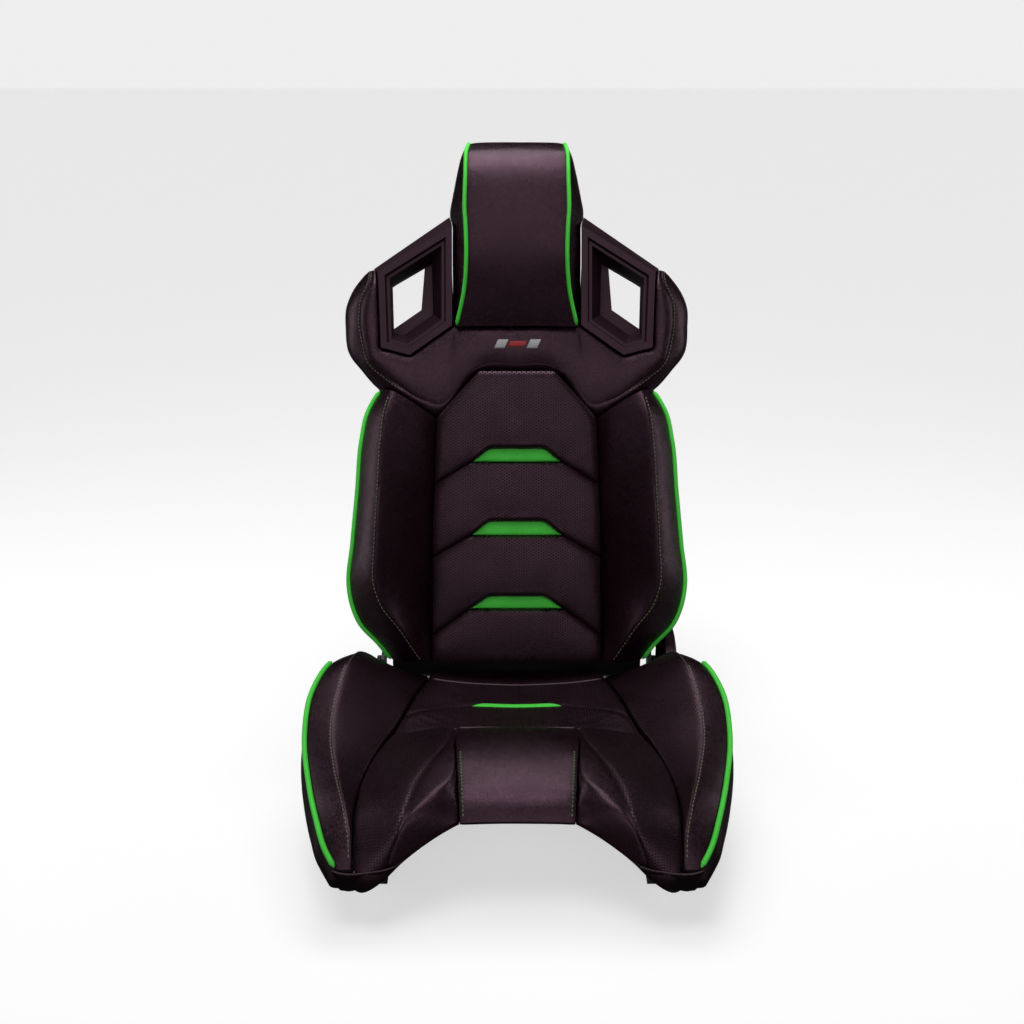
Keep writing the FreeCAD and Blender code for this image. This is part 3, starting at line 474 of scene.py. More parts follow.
def stitches(name, path, outs, material, pitch=6.0, length=4.2, radius=0.75, lift=0.35):
    """A run of separate thread stitches lying on a path."""
    path = np.asarray(path, float)
    run = lengths(path)
    verts, faces = [], []
    at = pitch / 2
    while at + length < run[-1]:
        a, b = (at_run(end, run, path) for end in (at - length / 2, at + length / 2))
        n = at_run(at, run, outs)
        axis = (b - a) / max(np.linalg.norm(b - a), 1e-9)
        n = n - axis * np.dot(n, axis)
        n /= max(np.linalg.norm(n), 1e-9)
        base = len(verts)
        for along, size in STITCH:
            middle = (a + b) / 2 + axis * (along * length) + n * (lift - radius * 0.9 * abs(along * 2) ** 3)
            verts += ring(middle, np.cross(axis, n), n, radius * size, STITCH_SIDES)
        skin(faces, base, len(STITCH), STITCH_SIDES)
        close(faces, base, len(STITCH), STITCH_SIDES)
        at += pitch
    return make_object(name, verts, faces, [material], smooth_angle=80)


def ride(obj, body, replaces=()):
    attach(obj, body)
    if replaces:
        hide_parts(*replaces)


def bead(node, side, path, radius, body):
    """A piping bead that stands for its CAD node."""
    obj = tube(f"{node}_cover_{side}", path, radius, "green", 14, 5)
    ride(obj, body, [f"{node}_{side}"])


def thread_run(name, path, outs, body, material="olive_thread", **sizes):
    ride(stitches(name, path, outs, material, **sizes), body)


# ---------------------------------------------------------------- materials
def shader(name, color, roughness, metallic=0.0, specular=0.5, sheen=0.0, tint=(1, 1, 1)):
    """A principled material whose plain values sit on the shader itself."""
    mat = bpy.data.materials.new(name)
    mat.use_nodes = True
    tree = mat.node_tree
    bsdf = tree.nodes["Principled BSDF"]
    bsdf.inputs["Base Color"].default_value = (*color, 1)
    bsdf.inputs["Roughness"].default_value = roughness
    bsdf.inputs["Metallic"].default_value = metallic
    bsdf.inputs["Specular IOR Level"].default_value = specular
    bsdf.inputs["Specular Tint"].default_value = (*tint, 1)
    bsdf.inputs["Sheen Weight"].default_value = sheen
    bsdf.inputs["Sheen Roughness"].default_value = 0.5
    MATERIALS[name] = mat
    return Nodes(tree, bsdf)


class Nodes:
    """Short calls for building a material's nodes."""

    def __init__(self, tree, target):
        self.tree, self.target = tree, target
        self.coords = tree.nodes.new("ShaderNodeTexCoord")
        self.place = self.coords.outputs["Object"]

    def new(self, kind, inputs=None, **props):
        node = self.tree.nodes.new("ShaderNode" + kind)
        for key, value in props.items():
            setattr(node, key, value)
        for key, value in (inputs or {}).items():
            if isinstance(value, bpy.types.NodeSocket):
                self.tree.links.new(value, node.inputs[key])
            else:
                node.inputs[key].default_value = value
        return node

    def noise(self, scale, detail=3.0, rough=0.55):
        inputs = {"Vector": self.place, "Scale": scale, "Detail": detail, "Roughness": rough}
        return self.new("TexNoise", inputs).outputs["Fac"]

    def cells(self, scale, vector):
        """Distance to the nearest edge between cells."""
        node = self.new("TexVoronoi", {"Vector": vector, "Scale": scale}, feature="DISTANCE_TO_EDGE")
        return node.outputs["Distance"]

    def waves(self, direction, vector, scale, distortion, detail=2.0):
        inputs = {"Vector": vector, "Scale": scale, "Distortion": distortion, "Detail": detail}
        return self.new("TexWave", inputs, bands_direction=direction).outputs["Fac"]

    def math(self, operation, a, b=0.0):
        return self.new("Math", {0: a, 1: b}, operation=operation).outputs[0]

    def sum(self, a, share_a, b, share_b):
        return self.math("ADD", self.math("MULTIPLY", a, share_a), self.math("MULTIPLY", b, share_b))

    def vector(self, operation, a, b=(0, 0, 0)):
        return self.new("VectorMath", {0: a, 1: b}, operation=operation)

    def remap(self, value, low, high, to_low, to_high, smooth=False):
        inputs = {"Value": value, "From Min": low, "From Max": high, "To Min": to_low, "To Max": to_high}
        node = self.new("MapRange", inputs, interpolation_type="SMOOTHSTEP" if smooth else "LINEAR")
        return node.outputs["Result"]

    def mix(self, share, a, b):
        node = self.new("Mix", {0: share, 6: (*a, 1) if isinstance(a, tuple) else a,
                                7: (*b, 1) if isinstance(b, tuple) else b}, data_type="RGBA")
        return node.outputs[2]

    def bump(self, height, strength, distance, normal=None):
        inputs = {"Height": height, "Strength": strength, "Distance": distance}
        if normal is not None:
            inputs["Normal"] = normal
        return self.new("Bump", inputs).outputs["Normal"]

    def link(self, source, name):
        self.tree.links.new(source, self.target.inputs[name])

    def finish(self, color, rough, normal):
        self.link(color, "Base Color")
        self.link(rough, "Roughness")
        self.link(normal, "Normal")


# painted shade: the near-black laid in each punched hole stands for the shade inside it
HOLE_SHADE = (0.0008, 0.0006, 0.0008)


def leather(name, base, deep, holes=False, grain=1.0, roughness=0.3, specular=0.5, tint=(1.0, 0.57, 0.77)):
    """Coated leather: pebbled grain with painted shade darkening its creases, and soft mottling."""
    n = shader(name, base, roughness, specular=specular, tint=tint)
    mottle = n.math("ADD", n.noise(9.0, 4.0, 0.6), n.math("MULTIPLY", n.noise(55.0, 3.0, 0.6), 0.35))
    color = n.mix(n.remap(mottle, 0.45, 0.95, 0.0, 1.0, True), deep, base)
    jitter = n.new("TexNoise", {"Vector": n.place, "Scale": 240.0, "Detail": 2.0}).outputs["Color"]
    warp = n.vector("SCALE", jitter)
    warp.inputs["Scale"].default_value = 0.0016
    bent = n.vector("ADD", n.place, warp.outputs[0]).outputs[0]
    crease = n.remap(n.cells(520.0, bent), 0.0, 0.16, 0.0, 1.0, True)
    fold = n.remap(n.cells(190.0, bent), 0.0, 0.07, 0.0, 1.0, True)
    height = n.sum(crease, 0.7, fold, 0.3)
    # painted shade: colour drawn towards the deep tone in the grain's low creases
    color = n.mix(n.remap(height, 0.0, 0.6, 0.55, 0.0), color, deep)
    normal = n.bump(height, 0.55 * grain, 0.00022)
    normal = n.bump(n.noise(38.0, 3.0, 0.5), 0.18, 0.0012, normal)
    rough = n.remap(n.noise(24.0, 4.0, 0.6), 0.3, 0.7, roughness - 0.05, roughness + 0.07)
    rough = n.math("ADD", rough, n.remap(height, 0.0, 0.7, 0.08, 0.0))
    if holes:
        mask = perforations(n)
        # painted shade in the holes
        color = n.mix(mask, color, HOLE_SHADE)
        rough = n.math("ADD", rough, n.math("MULTIPLY", mask, 0.5))
        normal = n.bump(n.math("SUBTRACT", 1.0, mask), 1.0, 0.0012, normal)
    n.finish(color, rough, normal)


HOLE_PITCH, HOLE_RADIUS = (0.0072, 0.0044), 0.00105


def perforations(n):
    """Punched holes in a staggered grid, laid out in metres by the Panel map."""
    uv = n.new("UVMap", uv_map="Panel").outputs["UV"]
    cell = (*HOLE_PITCH, 1.0)
    near = []
    for shift in ((0.0, 0.0, 0.0), (0.5, 0.5, 0.0)):
        scaled = n.vector("DIVIDE", uv, cell).outputs[0]
        moved = n.vector("ADD", scaled, shift).outputs[0]
        local = n.vector("SUBTRACT", n.vector("FRACTION", moved).outputs[0], (0.5, 0.5, 0.0)).outputs[0]
        real = n.vector("MULTIPLY", local, (cell[0], cell[1], 0.0)).outputs[0]
        near.append(n.vector("LENGTH", real).outputs["Value"])
    distance = n.math("MINIMUM", near[0], near[1])
    return n.remap(distance, HOLE_RADIUS * 0.75, HOLE_RADIUS * 1.25, 1.0, 0.0, True)


def moulded(name, base, deep, roughness, grain=420.0, depth=0.00018, specular=0.4, tint=(1, 1, 1)):
    """Injection-moulded plastic with a fine spark-eroded texture, its pits darkened as painted shade."""
    n = shader(name, base, roughness, specular=specular, tint=tint)
    speck, cloud = n.noise(grain, 4.0, 0.7), n.noise(7.0, 3.0, 0.5)
    # partly painted shade in the texture's low pits, partly random tone from the broad cloud noise
    color = n.mix(n.remap(n.sum(speck, 0.6, cloud, 0.5), 0.4, 0.75, 0.0, 1.0), deep, base)
    rough = n.remap(cloud, 0.3, 0.7, roughness - 0.05, roughness + 0.08)
    n.finish(color, rough, n.bump(n.noise(30.0, 2.0), 0.15, 0.0006, n.bump(speck, 0.5, depth)))


def painted(name, base, chip, roughness):
    """Powder-coated steel: orange-peel surface and rubbed convex edges."""
    n = shader(name, base, roughness)
    ridge = n.remap(n.new("NewGeometry").outputs["Pointiness"], 0.52, 0.62, 0.0, 1.0, True)
    worn = n.math("MULTIPLY", ridge, n.remap(n.noise(60.0, 4.0, 0.7), 0.45, 0.62, 0.0, 1.0, True))
    coat = n.mix(n.remap(n.noise(14.0, 4.0), 0.35, 0.65, 0.0, 1.0), tuple(c * 0.6 for c in base), base)
    rough = n.remap(n.noise(22.0, 3.0), 0.3, 0.7, roughness - 0.06, roughness + 0.1)
    n.finish(n.mix(worn, coat, chip), rough, n.bump(n.noise(650.0, 2.0), 0.3, 0.00015))
    n.link(n.math("MULTIPLY", worn, 0.8), "Metallic")


def metal(name, base, deep, roughness, spangle=90.0):
    """Plated or oiled steel, with zinc spangle or drawn streaks."""
    n = shader(name, base, roughness, metallic=1.0)
    patch = n.new("TexVoronoi", {"Vector": n.place, "Scale": spangle}).outputs["Color"]
    color = n.mix(n.remap(n.sum(patch, 0.5, n.noise(30.0, 5.0, 0.65), 0.6), 0.3, 0.85, 0.0, 1.0), deep, base)
    streak = n.new("Mapping", {"Vector": n.place, "Scale": (900.0, 60.0, 900.0)}).outputs[0]
    rub = n.new("TexNoise", {"Vector": streak, "Scale": 1.0, "Detail": 3.0}).outputs["Fac"]
    dull = n.math("ADD", rub, n.math("MULTIPLY", patch, 0.3))
    n.finish(color, n.remap(dull, 0.3, 1.0, roughness - 0.08, roughness + 0.15), n.bump(rub, 0.2, 0.0001))


def rubber(name, base, roughness):
    """Soft grip rubber with fine rings and a dusty bloom."""
    n = shader(name, base, roughness, specular=0.35)
    dust = n.noise(40.0, 5.0, 0.7)
    color = n.mix(n.remap(dust, 0.35, 0.7, 0.0, 0.6), base, tuple(c * 2.2 for c in base))
    rings = n.bump(n.waves("X", n.place, 55.0, 0.2), 0.35, 0.0006)
    rough = n.remap(dust, 0.3, 0.7, roughness - 0.05, roughness + 0.1)
    n.finish(color, rough, n.bump(n.noise(500.0, 2.0), 0.3, 0.00015, rings))


def thread(name, base, deep):
    """Twisted bonded sewing thread, with painted shade in the grooves between its plies."""
    n = shader(name, base, 0.5, specular=0.4, sheen=0.3)
    ply = n.waves("DIAGONAL", n.place, 420.0, 1.5, 1.0)
    # painted shade: colour drawn to the deep tone in the grooves of the twist
    color = n.mix(n.remap(ply, 0.1, 0.7, 0.0, 1.0), deep, base)
    n.finish(color, n.remap(ply, 0.0, 1.0, 0.6, 0.42), n.bump(ply, 0.5, 0.0003))


def woven(name, base, deep, pitch=0.0011):
    """Tight plain-weave backing cloth, with painted shade in the gaps of the weave."""
    n = shader(name, base, 0.8, specular=0.2, sheen=0.25)
    uv = n.new("UVMap", uv_map="Panel").outputs["UV"]
    warp, weft = (n.waves(direction, uv, 0.31 / pitch, 0.4, 1.0) for direction in ("X", "Y"))
    cloth = n.math("MAXIMUM", warp, weft)
    # partly painted shade in the weave's gaps, partly random tone from noise
    weave_shade_and_tone = n.sum(cloth, 0.6, n.noise(20.0, 4.0, 0.6), 0.5)
    color = n.mix(n.remap(weave_shade_and_tone, 0.35, 0.95, 0.0, 1.0), deep, base)
    n.finish(color, n.remap(weave_shade_and_tone, 0.3, 0.9, 0.9, 0.72), n.bump(cloth, 0.6, 0.0003))


PLUM, PLUM_DEEP = (0.0098, 0.0028, 0.0056), (0.0042, 0.0010, 0.0022)
leather("smooth", PLUM, PLUM_DEEP, grain=1.0, roughness=0.25)
leather("perforated", PLUM, PLUM_DEEP, holes=True, grain=0.6, roughness=0.29)
leather("skirt", (0.0020, 0.0015, 0.0018), (0.0009, 0.0007, 0.0008), grain=0.8, roughness=0.45, specular=0.22)
leather("green", (0.095, 0.80, 0.080), (0.078, 0.67, 0.064), grain=0.6, roughness=0.5, specular=0.3,
        tint=(0.6, 1.0, 0.6))
# painted highlight: this lighter plum on the cords stands for light caught along a folded seam edge
leather("painted_highlight_cord", (0.045, 0.038, 0.040), (0.024, 0.020, 0.021), grain=0.5, roughness=0.5)
# painted highlight: this light plum on the seat's lips stands for light caught along their folded edge
leather("painted_highlight_lip", (0.085, 0.062, 0.070), (0.050, 0.036, 0.041), grain=0.3, roughness=0.42)
moulded("bezel", (0.026, 0.0105, 0.0175), (0.012, 0.0048, 0.0082), 0.45, tint=(1.0, 0.6, 0.8))
moulded("shell", (0.018, 0.012, 0.016), (0.009, 0.006, 0.008), 0.52, grain=300.0, depth=0.00025)
moulded("glide", (0.62, 0.60, 0.55), (0.45, 0.43, 0.39), 0.45, grain=200.0)
painted("paint", (0.012, 0.012, 0.013), (0.35, 0.35, 0.36), 0.42)
metal("zinc", (0.62, 0.63, 0.64), (0.40, 0.41, 0.42), 0.36)
metal("spring", (0.20, 0.20, 0.21), (0.09, 0.09, 0.10), 0.38, spangle=30.0)
rubber("rubber", (0.012, 0.012, 0.013), 0.7)
thread("olive_thread", (0.19, 0.23, 0.12), (0.07, 0.09, 0.045))
thread("green_thread", (0.10, 0.42, 0.09), (0.03, 0.18, 0.03))
thread("silver_thread", (0.62, 0.62, 0.63), (0.30, 0.30, 0.32))
thread("red_thread", (0.55, 0.02, 0.02), (0.25, 0.01, 0.01))
woven("backing", (0.008, 0.007, 0.008), (0.003, 0.003, 0.003))


# ---------------------------------------------------------------- cushion
def clear_of_disc(points, side, reach):
    """Draws points outside x = side back from a disc round the hinge, where the recliner cover is."""
    out = points.copy()
    dy, dz = out[..., 1] - HINGE_Y, out[..., 2] - HINGE_Z
    away = np.hypot(dy, dz)
    near = (out[..., 0] > side) & (away < reach)
    scale = np.where(near, reach / np.maximum(away, 1e-6), 1.0)
    out[..., 1] = HINGE_Y + dy * scale
    out[..., 2] = HINGE_Z + dz * scale
    return out


BOLSTER = [
    # y, then (x, z) of the valley, the stitched ridge, the piped edge and the skirt's lower edge, underside z
    (-290, (203, 87), (204.5, 91), (226, 90.5), (222, 64), 66),
    (-270, (203.5, 112), (205.5, 119), (240.5, 107), (238, 78), 79),
    (-235, (206, 130), (215, 144), (254, 126), (249, 74), 90),
    (-175, (203, 142), (232.5, 163), (271.5, 148), (264, 64), 100),
    (-105, (186.5, 154), (246, 186), (285, 175), (275, 60), 100),
    (-45, (165, 160.5), (243, 212), (283.5, 205), (276, 60), 100),
    (15, (148.5, 168), (232, 233), (263, 224), (262, 62), 100),
    (60, (137.5, 167), (219, 218), (244, 207), (251, 68), 100),
    (92, (131, 165), (188, 178), (214, 171), (222, 84), 100),
]


def cushion_bolsters():
    sections = []
    for y, valley, ridge, piping, skirt, under in BOLSTER:
        foot = max(218, valley[0] + 2.5) if y > -200 else valley[0] + 4.5
        low = max(under, skirt[1] + 1)
        inner = valley[0] + 0.5
        loop = [(inner, valley[1]), (ridge[0] + 0.5, ridge[1]), piping, skirt, (foot, skirt[1]), (foot, low),
                (inner, low)]
        sections.append([(x, y, z) for x, z in loop])
    pad = Pad(sections, [0, 1, 2, 3, 4, 5, 6], [26, 22, 16, 6, 5, 3, 8], 90, 3.1,
              crown={0: 0.8, 1: 1.0, 2: 11.0}, seams={1: (0.9, [0, 1]), 2: (1.2, [1, 2]), 0: (1.8, [0])},
              groove=3.2, fit=lambda points: clear_of_disc(points, 219.0, 88.0))
    slots = {0: 1, 2: 2, 3: 2, 4: 2, 5: 2, 6: 2}
    rim, rim_out = pad.rail(2)
    piped = (rim[:, 1] < 17) & (rim[:, 1] > -289)
    ridge, ridge_out = pad.rail(1)
    rear = ridge[:, 1] > -6
    line, line_out = pad.along(1, 4.0)
    sewn = (line[:, 1] < 4) & (line[:, 1] > -284)
    for side, place in SIDES:
        cover = pad.piece(f"cushion_bolster_cover_{side}", ["smooth", "perforated", "skirt"], slots,
                          ends=(3, 3), place=place, cap_slot=2, soft=(0, 1))
        ride(cover, "seat", replaces=[f"cushion_bolster_{side}"])
        bead("cushion_piping", side, place(even(rim[piped] + rim_out[piped] * 2.0, 5)), 3.6, "seat")
        path = place(even(ridge[rear] + ridge_out[rear] * 0.9, 4))
        # the ridge cord's lighter colour is a painted highlight along the seam edge
        ride(tube(f"cushion_ridge_cord_{side}", path, 1.5, "painted_highlight_cord", 8, 4), "seat")
        thread_run(f"cushion_ridge_stitches_{side}", place(line[sewn]), place(line_out[sewn]), "seat")


THIGH = [
    # lines from the front pad's seam outward, each of points (x, y, z) from the rear over the tip and back
    [(75.6, -70, 165.8), (82.3, -120, 172.5), (79, -175, 169.5), (76, -215, 158.5), (73.5, -240, 145),
     (73, -248, 136.5), (73, -251, 133), (73, -251, 130.5), (73, -250.5, 129), (73, -240, 127),
     (75.6, -70, 92)],
    [(77.5, -70, 166.3), (84, -120, 173.4), (82, -175, 173.2), (82, -214, 165.5), (90, -239, 155.5),
     (98, -252, 146), (100, -259, 133), (99, -262, 120.5), (99, -262, 119), (99, -250, 116), (77.5, -70, 92)],
    [(80, -70, 167), (86.5, -120, 174.2), (86, -175, 176.5), (91, -212, 172), (110, -238, 164),
     (127, -257, 154), (138, -270, 139), (140, -280, 97), (140, -280, 95.5), (140, -266, 92.5),
     (80, -70, 92)],
    [(84, -70, 167.5), (93, -120, 174), (114, -175, 172), (129, -215, 164.5), (135, -238, 158),
     (142, -258, 147), (148, -272, 133), (160, -289, 90.5), (160, -291, 80.5), (160, -272, 78),
     (84, -70, 92)],
    [(171.5, -70, 156.5), (191, -120, 151), (203, -175, 142), (205.5, -215, 135), (206, -238, 129.5),
     (204, -258, 121), (203.5, -272, 111), (202, -292, 87), (200.5, -293, 62), (200.5, -274, 63),
     (171.5, -70, 92)],
]
VALANCE = [  # across the tip: (x, y), the seam's height, the lower edge's height
    (150, -286.5, 93, 89), (161, -290.8, 91.2, 81), (182, -293.5, 88.6, 75), (200, -295, 87.2, 62.5),
    (213, -295.2, 87.6, 61.5), (222, -294.2, 89, 65.5), (228.5, -291.5, 90, 82),
]


def tip_valances():
    """The black edging under each front tip, sewn to the thigh pad and the bolster."""
    x = np.linspace(150, 228.5, 41)
    keys = [station[0] for station in VALANCE]
    depth, seam, hem = (smooth(keys, [station[k] for station in VALANCE], x)[:, 0] for k in (1, 2, 3))
    grid = []
    for t in (0.0, 0.05, 0.12, 0.3, 0.6, 0.85, 1.0):
        puff = 1.2 * math.sin(math.pi * t) ** 0.5
        grid.append(np.stack([x, depth - puff + 2.5 * t * t, seam + (hem - seam) * t], axis=1))
    grid = np.array(grid)
    rear = grid + np.array([0, 3.0, 0])
    for side, place in SIDES:
        front = place(grid)
        ride(slab(f"tip_valance_{side}", front, place(rear), "skirt", front[..., [0, 2]]), "seat")
        # the tip cord's lighter colour is a painted highlight along the seam edge
        painted_highlight_cord = tube(f"tip_cord_{side}", place(grid[0] + np.array([0, -0.6, 0.3])), 1.1, "painted_highlight_cord", 8, 3)
        ride(painted_highlight_cord, "seat")


def thigh_slot(station, segment):
    """Smooth leather on the two inner gores, perforated outside them, and skirt below."""
    if segment:
        return 2
    return int(station >= 3)


def thigh_pads():
    pad = Pad(THIGH, [0, 7, 8, 9, 10], [54, 8, 6, 16, 8], 64, 8.4, crown={0: 1.0, 1: 0.8},
              seams={1: (1.2, [0, 1])}, row_seams=[(0, 2.0, [0, 1]), (3, 1.9, [0]), (4, 1.8, [0])],
              groove=3.0, dense=0.25)
    for side, place in SIDES:
        cover = pad.piece(f"thigh_pad_cover_{side}", ["smooth", "perforated", "skirt"], slot_of=thigh_slot,
                          ends=(1.5, 0.5), place=place, flat_uv=lambda point, run: -64 - run, soft=(0,))
        ride(cover, "seat", [f"thigh_pad_{side}"])
    return pad


FRONT_PROFILE = [  # y, z
    (-70, 168), (-110, 176), (-150, 178), (-161, 177), (-196, 168.8), (-226, 158.6), (-241, 146.5),
    (-252, 133), (-249, 128), (-232, 124), (-70, 92),
]
FRONT_WIDTH = ([-252, -175, -110, -70], [72, 78, 82, 74.8])  # half-width by y
FRONT_CROWN = ((-1, 0.8), (-0.86, 0.0), (-0.42, -1.0), (0, -1.4), (0.42, -1.0), (0.86, 0.0), (1, 0.8))


def front_pad():
    sections = []
    for share, sink in FRONT_CROWN:
        sections.append([(share * np.interp(y, *FRONT_WIDTH), y, z - sink) for y, z in FRONT_PROFILE])
    pad = Pad(sections, [0, 7, 8, 9, 10], [54, 4, 5, 14, 8], 56, 12.2, crown={0: 1.0},
              seams={0: (1.0, [0])}, row_seams=[(0, 1.2, [0, 1]), (6, 1.2, [0, 1])], groove=3.4, dense=0.5)
    cover = pad.piece("front_pad_cover", ["smooth"], ends=(0.8, 0.8), soft=(0,))
    ride(cover, "seat", replaces=["front_pad"])
    top = slice(pad.starts[0], pad.starts[1])
    for side, x in (("left", 69.5), ("right", -69.5)):
        row = int(np.argmin(np.abs(pad.grid[:, 0, 0] - x)))
        line, out = pad.grid[row, top], pad.normal[row, top]
        ahead = line[:, 1] < -152
        thread_run(f"front_pad_stitches_{side}", line[ahead], out[ahead], "seat", "green_thread",
                   pitch=5.6, length=2.9, radius=0.75)


CENTRE = [  # y, half-width, edge z, middle z
    (-69, 171.5, 157, 166), (-45, 164, 160.5, 163), (15, 148, 168, 156), (28, 145, 168, 156.5),
    (60, 137, 167, 157), (79, 133, 166, 158.6), (92, 130.5, 165, 159), (128, 127, 160, 156),
]
SEAT_CHEVRON = [(-156, -28), (-128, -13), (-95, 3), (-66, 12.5), (66, 12.5), (95, 3), (128, -13), (156, -28)]


def cushion_centre(thigh):
    joint = thigh.grid[:, 0]
    sections = []
    for y, x, side, mid in CENTRE:
        rise = side - mid
        shape = [(x, side), (0.8 * x, mid + 3.5 + 0.3 * rise), (0.56 * x, mid + 3.2), (0.34 * x, mid + 1.5),
                 (0, mid)]
        if y == CENTRE[0][0]:  # the front row follows the thigh pads' and front pad's rear edge
            shape = [(c, float(np.interp(c, joint[:, 0], joint[:, 2]))) for c in (171, 135, 100, 79)]
            shape.append((0, 167))
        half = [(c, y, h) for c, h in shape]
        sections.append([(-c, w, h) for c, w, h in half] + half[-2::-1] + [(x, y, 92), (-x, y, 92)])
    pad = Pad(sections, [0, 8, 9, 10], [96, 8, 20, 8], 80, 15.7, seams={0: (1.8, [0]), 1: (1.8, [0])},
              row_seams=[(5, 1.6, [0])], paths=[(SEAT_CHEVRON, 1.5, [0])], groove=3.2, dense=0.2)
    cover = pad.piece("cushion_centre_cover", ["perforated"], ends=(0.3, 3), soft=(0,),
                      flat_uv=lambda point, run: point[1])
    ride(cover, "seat", ["cushion_foam"])
    top = pad.grid[:, pad.starts[0]:pad.starts[1] + 1].reshape(-1, 3)
    seat_accent(top)
    seat_cords(top)


def seat_accent(top):
    """The thin coloured wedge let into the seat."""
    wedge = []
    for y, half in ((12.5, 64.0), (14.5, 61.0), (17.0, 56.0), (20.0, 48.0)):
        proud = 0.7 - 0.1 * abs(y - 16)
        wedge.append([(x, y, height_at(top, x, y, 4, 0.01) + proud) for x in np.linspace(-half, half, 41)])
    wedge = np.array(wedge)
    accent = slab("seat_accent_cover", wedge, wedge - np.array([0, 0, 4.0]), "green", wedge[..., :2])
    ride(accent, "seat", ["seat_accent_insert"])


def seat_cords(top):
    """Thin piped lips across the seat, behind the front pad and ahead of the rear seam, coloured light as a
    painted highlight along their folded edge.
    """
    for name, y, half, sweep in (("seat_front_cord", -70.5, 79.0, 0.0), ("seat_rear_cord", 76.0, 124.0, 7.0)):
        xs = np.linspace(-half, half, 81)
        ys = y + sweep * (np.abs(xs) / half) ** 4
        path = [(a, b, height_at(top, a, b, 4, 0.01) + 0.7) for a, b in zip(xs, ys)]
        # the lip's light colour is a painted highlight
        ride(tube(name, path, 1.3, "painted_highlight_lip", 8, 3), "seat")


def height_at(face, x, y, count, blur):
    """The third coordinate of a surface at a place, from its nearest few points."""
    gap = (face[:, 0] - x) ** 2 + (face[:, 1] - y) ** 2
    near = np.argsort(gap)[:count]
    weight = 1 / (gap[near] + blur)
    return float((face[near, 2] * weight).sum() / weight.sum())


# ---------------------------------------------------------------- backrest
def leaned(points):
    """Backrest points (x, s, d) as seat-frame points."""
    p = np.asarray(points, float)
    return np.stack([p[..., 0], HINGE_Y + p[..., 1] * SIN - p[..., 2] * COS,
                     HINGE_Z + p[..., 1] * COS + p[..., 2] * SIN], axis=-1)


def unleaned(points):
    """The reverse of leaned."""
    p = np.asarray(points, float)
    y, z = p[..., 1] - HINGE_Y, p[..., 2] - HINGE_Z
    return np.stack([p[..., 0], y * SIN + z * COS, -y * COS + z * SIN], axis=-1)


BACK_SIDE = [  # (x, s, d) of the inner valley, the stitched ridge and the piped edge, from the seat up
    ((126.5, 36), (134, 36, 100), (186, 36, 66)),
    ((126.5, 60), (149, 60, 112), (203, 60, 72)),
    ((126.5, 90), (168, 90, 122), (230, 90, 78)),
    ((126.5, 118), (190, 118, 126), (242, 118, 80)),
    ((126.5, 145), (201, 145, 126), (247, 145, 80)),
    ((124, 210), (202, 210, 124), (241.5, 210, 80)),
    ((121, 284), (198, 288, 120), (234.5, 288, 78)),
    ((119, 346), (194, 362, 112), (228.5, 362, 74)),
    ((118.5, 374), (190, 404, 100), (219.5, 404, 68)),
    ((118.5, 394), (182, 434, 84), (202, 436, 60)),
]


def back_bolsters():
    sections = []
    for (xi, si), ridge, piping in BACK_SIDE:
        corner = min(205, piping[0] - 4)
        sections.append(leaned([(xi, si, 0.8), (xi, si, 54), ridge, piping, (corner, piping[1], 0.8)]))
    pad = Pad(sections, [0, 1, 2, 3, 4], [10, 28, 22, 18, 10], 110, 21.3, crown={1: 2.8, 2: 2.6, 3: 2.0},
              seams={1: (3.0, [1]), 2: (1.4, [1, 2]), 3: (1.4, [2, 3])},
              fit=lambda points: clear_of_disc(points, 213.0, 87.5))
    rim, rim_out = pad.rail(3)
    line, line_out = pad.along(2, 4.5)
    for side, place in SIDES:
        cover = pad.piece(f"back_bolster_cover_{side}", ["smooth", "skirt"], {0: 1, 3: 1, 4: 1},
                          ends=(3, 0.5), place=place, soft=(1, 2))
        ride(cover, "backrest", replaces=[f"back_bolster_{side}"])
        bead("back_piping", side, place(even(rim[1:-1] + rim_out[1:-1] * 2.0, 5)), 3.4, "backrest")
        thread_run(f"back_ridge_stitches_{side}", place(line[2:-2]), place(line_out[2:-2]), "backrest")


def soft_polyline(points, width=6.0):
    """A function of x through the points, mirrored about x = 0, with its corners rounded."""
    xs = np.linspace(-150, 150, 601)
    ys = np.interp(np.abs(xs), [p[0] for p in points], [p[1] for p in points])
    kernel = np.exp(-0.5 * (np.arange(-40, 41) * 0.5 / width) ** 2)
    padded = np.pad(ys, 40, mode="edge")
    ys = np.convolve(padded, kernel / kernel.sum(), "valid")
    return lambda x: np.interp(x, xs, ys)


CHEVRONS = [  # (x, s): middle, end of the flat top, foot of the insert, panel's edge, beyond it
    [(0, 131), (42, 131), (70, 112), (129, 69), (150, 54)],
    [(0, 242), (42, 242), (68, 221), (125, 188), (150, 174)],
    [(0, 350), (42, 350), (66, 330), (121, 297), (150, 280)],
]
CHEVRON_FEET = [chevron[2] for chevron in CHEVRONS]
PANEL_TOP = [(0, 463.5), (56.5, 463.5), (118.5, 395.5), (150, 372)]
PANEL_FOOT = 31.0
PANEL_WIDTH = ([31, 60, 243, 394, 464], [126, 126, 124, 118, 118])
HALF_WIDTH = 124.0
SLANT = 0.86  # of a seam's distance up the back, its distance square to a slanted seam
FREE_OF_PANEL_SEAM = 12.0


def panel_depth(x, s):
    """The centre panel's front before its seams are drawn in."""
    w = np.interp(s, *PANEL_WIDTH)
    a = np.clip(np.abs(x) / w, 0, 1)
    lumbar = 4.0 * np.exp(-((s - 150) / 90.0) ** 2)
    return 57.0 + (5.5 + lumbar) * (1 - a ** 2.6) - 2.0 * a ** 6


